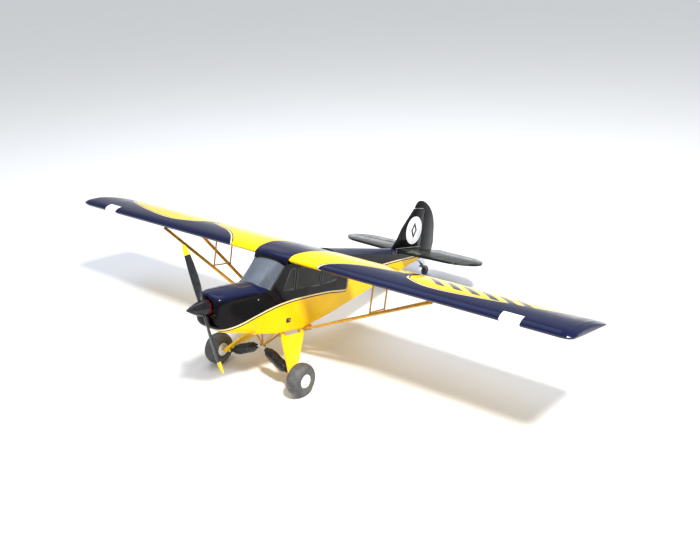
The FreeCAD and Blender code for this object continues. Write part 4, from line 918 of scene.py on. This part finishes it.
TAIL_TYRE = [(1.58, 7.0), (7.4, 7.0), (8.4, 6.4), (10.0, 5.0), (13.6, 5.2), (15.0, 6.6), (17.6, 6.9),
             (20.2, 5.4), (21.6, 2.8), (22.0, 0.0)]


def make_tail_wheel():
    half = fine_profile(TAIL_TYRE, 4)
    ring = half + [(radius, -height) for radius, height in half[-2::-1]]
    stand_for("tailwheel", hoop(ring, joint_place("tailwheel_spin"), joint_axis("tailwheel_spin"), 72), 55)


# The sleeve as (radius, distance from the inner eye), tied in at both ends, and the outer eye's section.
COVER_LINE = [(3.4, 14), (8.0, 14.3), (9.4, 16.5), (9.0, 19.0), (12.0, 23), (15.8, 30), (18.2, 42),
              (19.0, 60), (19.2, 82), (18.6, 100), (16.6, 114), (13.0, 122), (9.4, 126.5), (8.6, 128.5),
              (9.0, 130.5), (7.2, 132.4), (3.4, 134), (3.2, 136), (3.2, 142)]
COVER_BORE = [(0, 0.062), (0.0033, 0.062), (0.0033, 0.016)]
EYE = [(0.003, -0.004), (0.0052, -0.004), (0.006, -0.0033), (0.006, 0.0033), (0.0052, 0.004),
       (0.003, 0.004)]
EYE_DISTANCE = 0.14597


def crinkle(angle, height, radius):
    """Lengthwise folds and small creases of a tied vinyl sleeve."""
    if radius < 0.0095:
        return 0
    share = min(1, (radius - 0.009) / 0.008)
    spot = Vector((math.cos(angle) * 1.6, math.sin(angle) * 1.6, height * 26))
    fold = math.sin(angle * 7 + 1.4 * noise.noise(spot * 0.8)) * 0.0006
    crease = noise.noise(spot * 1.7) * 0.0016 + noise.noise(spot * 4.2) * 0.0007
    return share * (fold + crease - 0.0005)


def make_shock_cover(side):
    sign = 1 if side == "left" else -1
    top = at(sign * 8, -4, -335)
    way = joint_axis(f"shock_{side}_stroke")
    profile = COVER_BORE + fine_profile(COVER_LINE, 5) + [(0, 0.142)]
    aft = AIRFRAME.to_3x3() @ Vector((0, 1, 0))
    shapes = [turned(profile, top, way, 72, crinkle), hoop(EYE, top + way * EYE_DISTANCE, aft, 36)]
    stand_for("shock_cover_" + side, together(shapes), 60)


# Sections of the cowl, as (station, half width, shoulder height, crown height, bottom height).
COWL = [(-286, 36, -134, -123, -216), (-283.5, 42.5, -130.6, -119.5, -220.5), (-278, 49, -127.5, -116, -225),
        (-266, 56, -124, -113, -232), (-242, 62, -121, -108, -241), (-180, 64.6, -118, -102, -252),
        (-112, 65, -117, -97, -262)]
COWL_SKIN = 2.2
COWL_CORNER = 26
COWL_FRONT = COWL[0][0]
COWL_LENGTH = COWL[-1][0] - COWL_FRONT
COWL_OUTLET = [(-40, -172), (40, -172), (40, -124), (-40, -124)]


def cowl_ring(y, half, shoulder, crown, bottom, softness, inset):
    """One closed section of the cowl, with its corners softened by evening out the points."""
    half -= inset
    crown -= inset
    bottom += inset
    corner = COWL_CORNER
    ring = []
    for step in range(12):
        ring.append((-half + corner + (2 * half - 2 * corner) * step / 12, bottom))
    for step in range(10):
        angle = math.pi / 2 * step / 10
        ring.append((half - corner + corner * math.sin(angle), bottom + corner - corner * math.cos(angle)))
    for step in range(14):
        ring.append((half, bottom + corner + (shoulder - bottom - corner) * step / 14))
    rise = crown - shoulder
    radius = (half ** 2 + rise ** 2) / (2 * rise)
    reach = math.asin(half / radius)
    for step in range(28):
        angle = reach - 2 * reach * step / 28
        ring.append((radius * math.sin(angle), crown - radius + radius * math.cos(angle)))
    for step in range(14):
        ring.append((-half, shoulder + (bottom + corner - shoulder) * step / 14))
    for step in range(10):
        angle = math.pi / 2 * step / 10
        ring.append((-half + corner - corner * math.cos(angle), bottom + corner - corner * math.sin(angle)))
    for _ in range(10):
        ring = [((1 - softness) * here[0] + softness * (before[0] + after[0]) / 2,
                 (1 - softness) * here[1] + softness * (before[1] + after[1]) / 2)
                for before, here, after in zip(ring[-1:] + ring[:-1], ring, ring[1:] + ring[:1])]
    return [at(x, y, z) for x, z in ring]


def cowl_hole(x, z, radius, depth, steps):
    """A round plug through the cowl's front."""
    profile = [(0, -depth), (radius, -depth), (radius, 0.010), (0, 0.010)]
    return turned(profile, at(x, COWL_FRONT, z), joint_axis("propeller_spin"), steps)


def make_cowl():
    """A thin shell with a round-edged nose, open at the back, with two air inlets and an outlet below."""
    outer = []
    inner = []
    for step in range(49):
        share = step / 48
        y = COWL_FRONT + COWL_LENGTH * share ** 1.8
        half, shoulder, crown, bottom = smooth_table(COWL, y)
        softness = 0.6 * (1 - share) ** 0.7
        outer.append(cowl_ring(y, half, shoulder, crown, bottom, softness, 0))
        inner.append(cowl_ring(max(y, COWL_FRONT + COWL_SKIN), half, shoulder, crown, bottom, softness,
                               COWL_SKIN))
    shell = skin_rings(outer + inner[:1:-1])
    piece = stand_for("cowl", shell)
    cutters = [cowl_hole(0, THRUST_LINE, 0.022, 0.012, 72)]
    cutters += [cowl_hole(side * 30, -176, 0.012, 0.016, 48) for side in (-1, 1)]
    cutters.append(skin_rings([[at(x, y, z) for x, y in COWL_OUTLET] for z in (-290, -240)]))
    carve(piece, cutters)
    crease_smooth(piece, 32)


# Outlines on the cabin's flat sides, as (station, height), and its half width as (station, half width).
FRAME_WIDTH = 5.0
FRAME_DEPTH = 1.6
FRAME_LIFT = 0.3
WINDOW_CORNERS = [
    [(-2, -120), (52, -120), (52, -46), (26, -46)],
    [(64, -120), (196, -120), (196, -46), (64, -46)],
    [(209, -119), (296, -110), (290, -88), (240, -46), (209, -46)],
]
HULL_SIDES = [(-112, 65), (-84, 66), (-6, 68), (130, 68), (306, 60)]
SCREEN_EDGE = [(-66, -114), (-9, -33)]


def hull_side(y):
    """Half width of the fuselage's flat side at a station."""
    for near, far in zip(HULL_SIDES, HULL_SIDES[1:]):
        if near[0] <= y <= far[0]:
            return near[1] + (far[1] - near[1]) * (y - near[0]) / (far[0] - near[0])
    raise ValueError("no side at this station")


def make_frames():
    """Thin raised black strips round every side pane and along the windshield's rear edges."""
    outward = AIRFRAME.to_3x3() @ Vector((1, 0, 0))
    strips = [SCREEN_EDGE]
    for corners in WINDOW_CORNERS:
        strips += zip(corners, corners[1:] + corners[:1])
    shapes = []
    for side in (-1, 1):
        for strip in strips:
            ends = [at(side * (hull_side(y) + FRAME_LIFT), y, z) for y, z in strip]
            shapes.append(bar_shape(*ends, FRAME_WIDTH / 1000, FRAME_DEPTH / 1000, outward * side))
    points, faces = together(shapes)
    piece = new_piece("window_frames", points, faces, TUBE_PAINT, bodied("fuselage_shell"),
                      False)
    bevel = piece.modifiers.new("edge", "BEVEL")
    bevel.width = 0.0006
    bevel.segments = 2
    settle(piece)
    crease_smooth(piece, 40)


# The brow's path from the windshield up to the roof, as (share, station, height).
BROW_CENTRE = [(0.0, -12, -23), (0.25, -13, -12), (0.5, -5, -1), (0.75, 12, 5.4), (1.0, 42, 9.8)]
BROW_SIDE = [(0.0, -7, -33), (0.25, -5, -21), (0.5, -1.5, -9), (0.75, 11, 0.3), (1.0, 42, 9.8)]
BROW_HALF_WIDTH = 76
BROW_SKIN = 1.5


def make_brow():
    """A domed fairing that carries the windshield's top edge up over the wing's centre section."""
    rings = []
    for column in range(33):
        x = -BROW_HALF_WIDTH + 2 * BROW_HALF_WIDTH * column / 32
        fullness = 1 - (abs(x) / BROW_HALF_WIDTH) ** 3
        path = []
        for step in range(17):
            side = smooth_table(BROW_SIDE, step / 16)
            middle = smooth_table(BROW_CENTRE, step / 16)
            path.append([low + (high - low) * fullness for low, high in zip(side, middle)])
        outer = [at(x, y, z) for y, z in path]
        inner = [at(x, y + BROW_SKIN, z - BROW_SKIN) for y, z in path[::-1]]
        rings.append(outer + inner)
    points, faces = skin_rings(rings)
    piece = new_piece("roof_brow", points, faces, FUSELAGE_FILM, bodied("fuselage_shell"))
    crease_smooth(piece, 50)


# Gauges as (offset, height, radius).
DIAL_STATION = -62
DIALS = [(-30, -127, 8), (-10, -125, 9), (12, -125, 9), (31, -127, 8), (-20, -139, 5), (0, -139, 5),
         (20, -139, 5)]


def make_dials():
    """Plain round gauges on the cabin side of the instrument hood."""
    aft = AIRFRAME.to_3x3() @ Vector((0, 1, 0))
    shapes = []
    for x, z, radius in DIALS:
        rim = [(0, 0.0006), (radius * 0.00082, 0.0006), (radius * 0.00086, 0.0018),
               (radius * 0.00096, 0.0018), (radius * 0.001, 0.0), (0, -0.0006)]
        shapes.append(turned(rim, at(x, DIAL_STATION, z), aft, 36))
    points, faces = together(shapes)
    new_piece("panel_dials", points, faces, dial_paint(), bodied("instrument_panel"),
              False)


def dial_paint():
    """Black gauge faces with pale specks."""
    paint = Paint("dial_faces")
    speck = paint.noise(700, 2)
    paint.colour(paint.mix(paint.spread(speck, 0, 1, 0.55, 0.62), (0.012, 0.012, 0.014, 1),
                           (0.5, 0.5, 0.48, 1)))
    paint.roughness(paint.spread(paint.noise(200, 3), 0.2, 0.4))
    paint.bump(speck, 0.0001, 0.3)
    return paint.material


# Edge rounding of the flat and boxy pieces, in metres.
SOFT_EDGES = {"fin": 0.0022, "rudder": 0.0022, "stabilizer": 0.0022, "elevator": 0.0016, "battery": 0.003,
              "receiver": 0.0015, "speed_controller": 0.0015, "instrument_panel": 0.002, "servos": 0.0006,
              "spinner_backplate": 0.0006, "switch_plate": 0.0003, "switch_slider": 0.0004,
              "strut_fittings": 0.0008, "gear_brackets": 0.0006, "tailwheel_fork": 0.0004,
              "gear_leg_left": 0.0009, "gear_leg_right": 0.0009, "prop_nut": 0.0005, "cowl_screws": 0.0004,
              "elevator_servo_arm": 0.0003, "rudder_servo_arm": 0.0003}

for node_name, edge_width in SOFT_EDGES.items():
    rounded(node_name, edge_width, MATERIAL_OF[node_name])
make_propeller()
make_spinner()
make_frames()
make_brow()
make_dials()
make_tail_wheel()
make_cowl()
for wheel_side in ("left", "right"):
    make_wheel(wheel_side)
    make_shock_cover(wheel_side)


# ---------------------------------------------------------------- camera, floor and light

CAMERA_PLACE = Vector((1.781, -2.121, 1.449))
CAMERA_AZIMUTH = math.radians(38.65)
CAMERA_ELEVATION = math.radians(24.06)
CAMERA_ROLL = math.radians(-2.31)
LENS = 41.06


def make_camera():
    back = Vector((math.sin(CAMERA_AZIMUTH) * math.cos(CAMERA_ELEVATION),
                   -math.cos(CAMERA_AZIMUTH) * math.cos(CAMERA_ELEVATION), math.sin(CAMERA_ELEVATION)))
    level_right = (-back).cross(Vector((0, 0, 1))).normalized()
    level_up = level_right.cross(-back)
    right = level_right * math.cos(CAMERA_ROLL) + level_up * math.sin(CAMERA_ROLL)
    up = level_up * math.cos(CAMERA_ROLL) - level_right * math.sin(CAMERA_ROLL)
    camera = bpy.data.objects.new("camera", bpy.data.cameras.new("camera"))
    camera.data.lens = LENS
    camera.data.sensor_width = 36
    camera.matrix_world = Matrix.Translation(CAMERA_PLACE) @ Matrix((right, up, back)).transposed().to_4x4()
    bpy.context.scene.collection.objects.link(camera)
    bpy.context.scene.camera = camera


def area_light(name, place, size, power, colour):
    light = bpy.data.objects.new(name, bpy.data.lights.new(name, "AREA"))
    light.data.shape = "DISK"
    light.data.size = size
    light.data.energy = power
    light.data.color = colour
    light.location = place
    light.rotation_euler = (Vector((0, 0, 0.3)) - Vector(place)).to_track_quat("-Z", "Y").to_euler()
    bpy.context.scene.collection.objects.link(light)


def make_studio():
    half = 30
    mesh = bpy.data.meshes.new("floor")
    mesh.from_pydata([(-half, -half, 0), (half, -half, 0), (half, half, 0), (-half, half, 0)], [],
                     [(0, 1, 2, 3)])
    floor = bpy.data.objects.new("floor", mesh)
    bpy.context.scene.collection.objects.link(floor)
    paint = Paint("floor_paint")
    paint.colour(paint.mix(paint.noise(2, 2), (0.84, 0.84, 0.84, 1), (0.87, 0.87, 0.87, 1)))
    paint.shader.inputs["Roughness"].default_value = 0.9
    mesh.materials.append(paint.material)
    world = bpy.data.worlds.new("studio")
    world.use_nodes = True
    world.node_tree.nodes["Background"].inputs["Color"].default_value = (0.93, 0.96, 1.0, 1)
    world.node_tree.nodes["Background"].inputs["Strength"].default_value = 0.72
    bpy.context.scene.world = world
    bpy.context.scene.view_settings.view_transform = "Standard"
    area_light("key", (2.5, -1.5, 4.2), 0.7, 330, (1.0, 0.97, 0.92))
    area_light("overhead", (-1.2, 0.6, 3.8), 3.0, 60, (0.72, 0.82, 1.0))


make_camera()
make_studio()
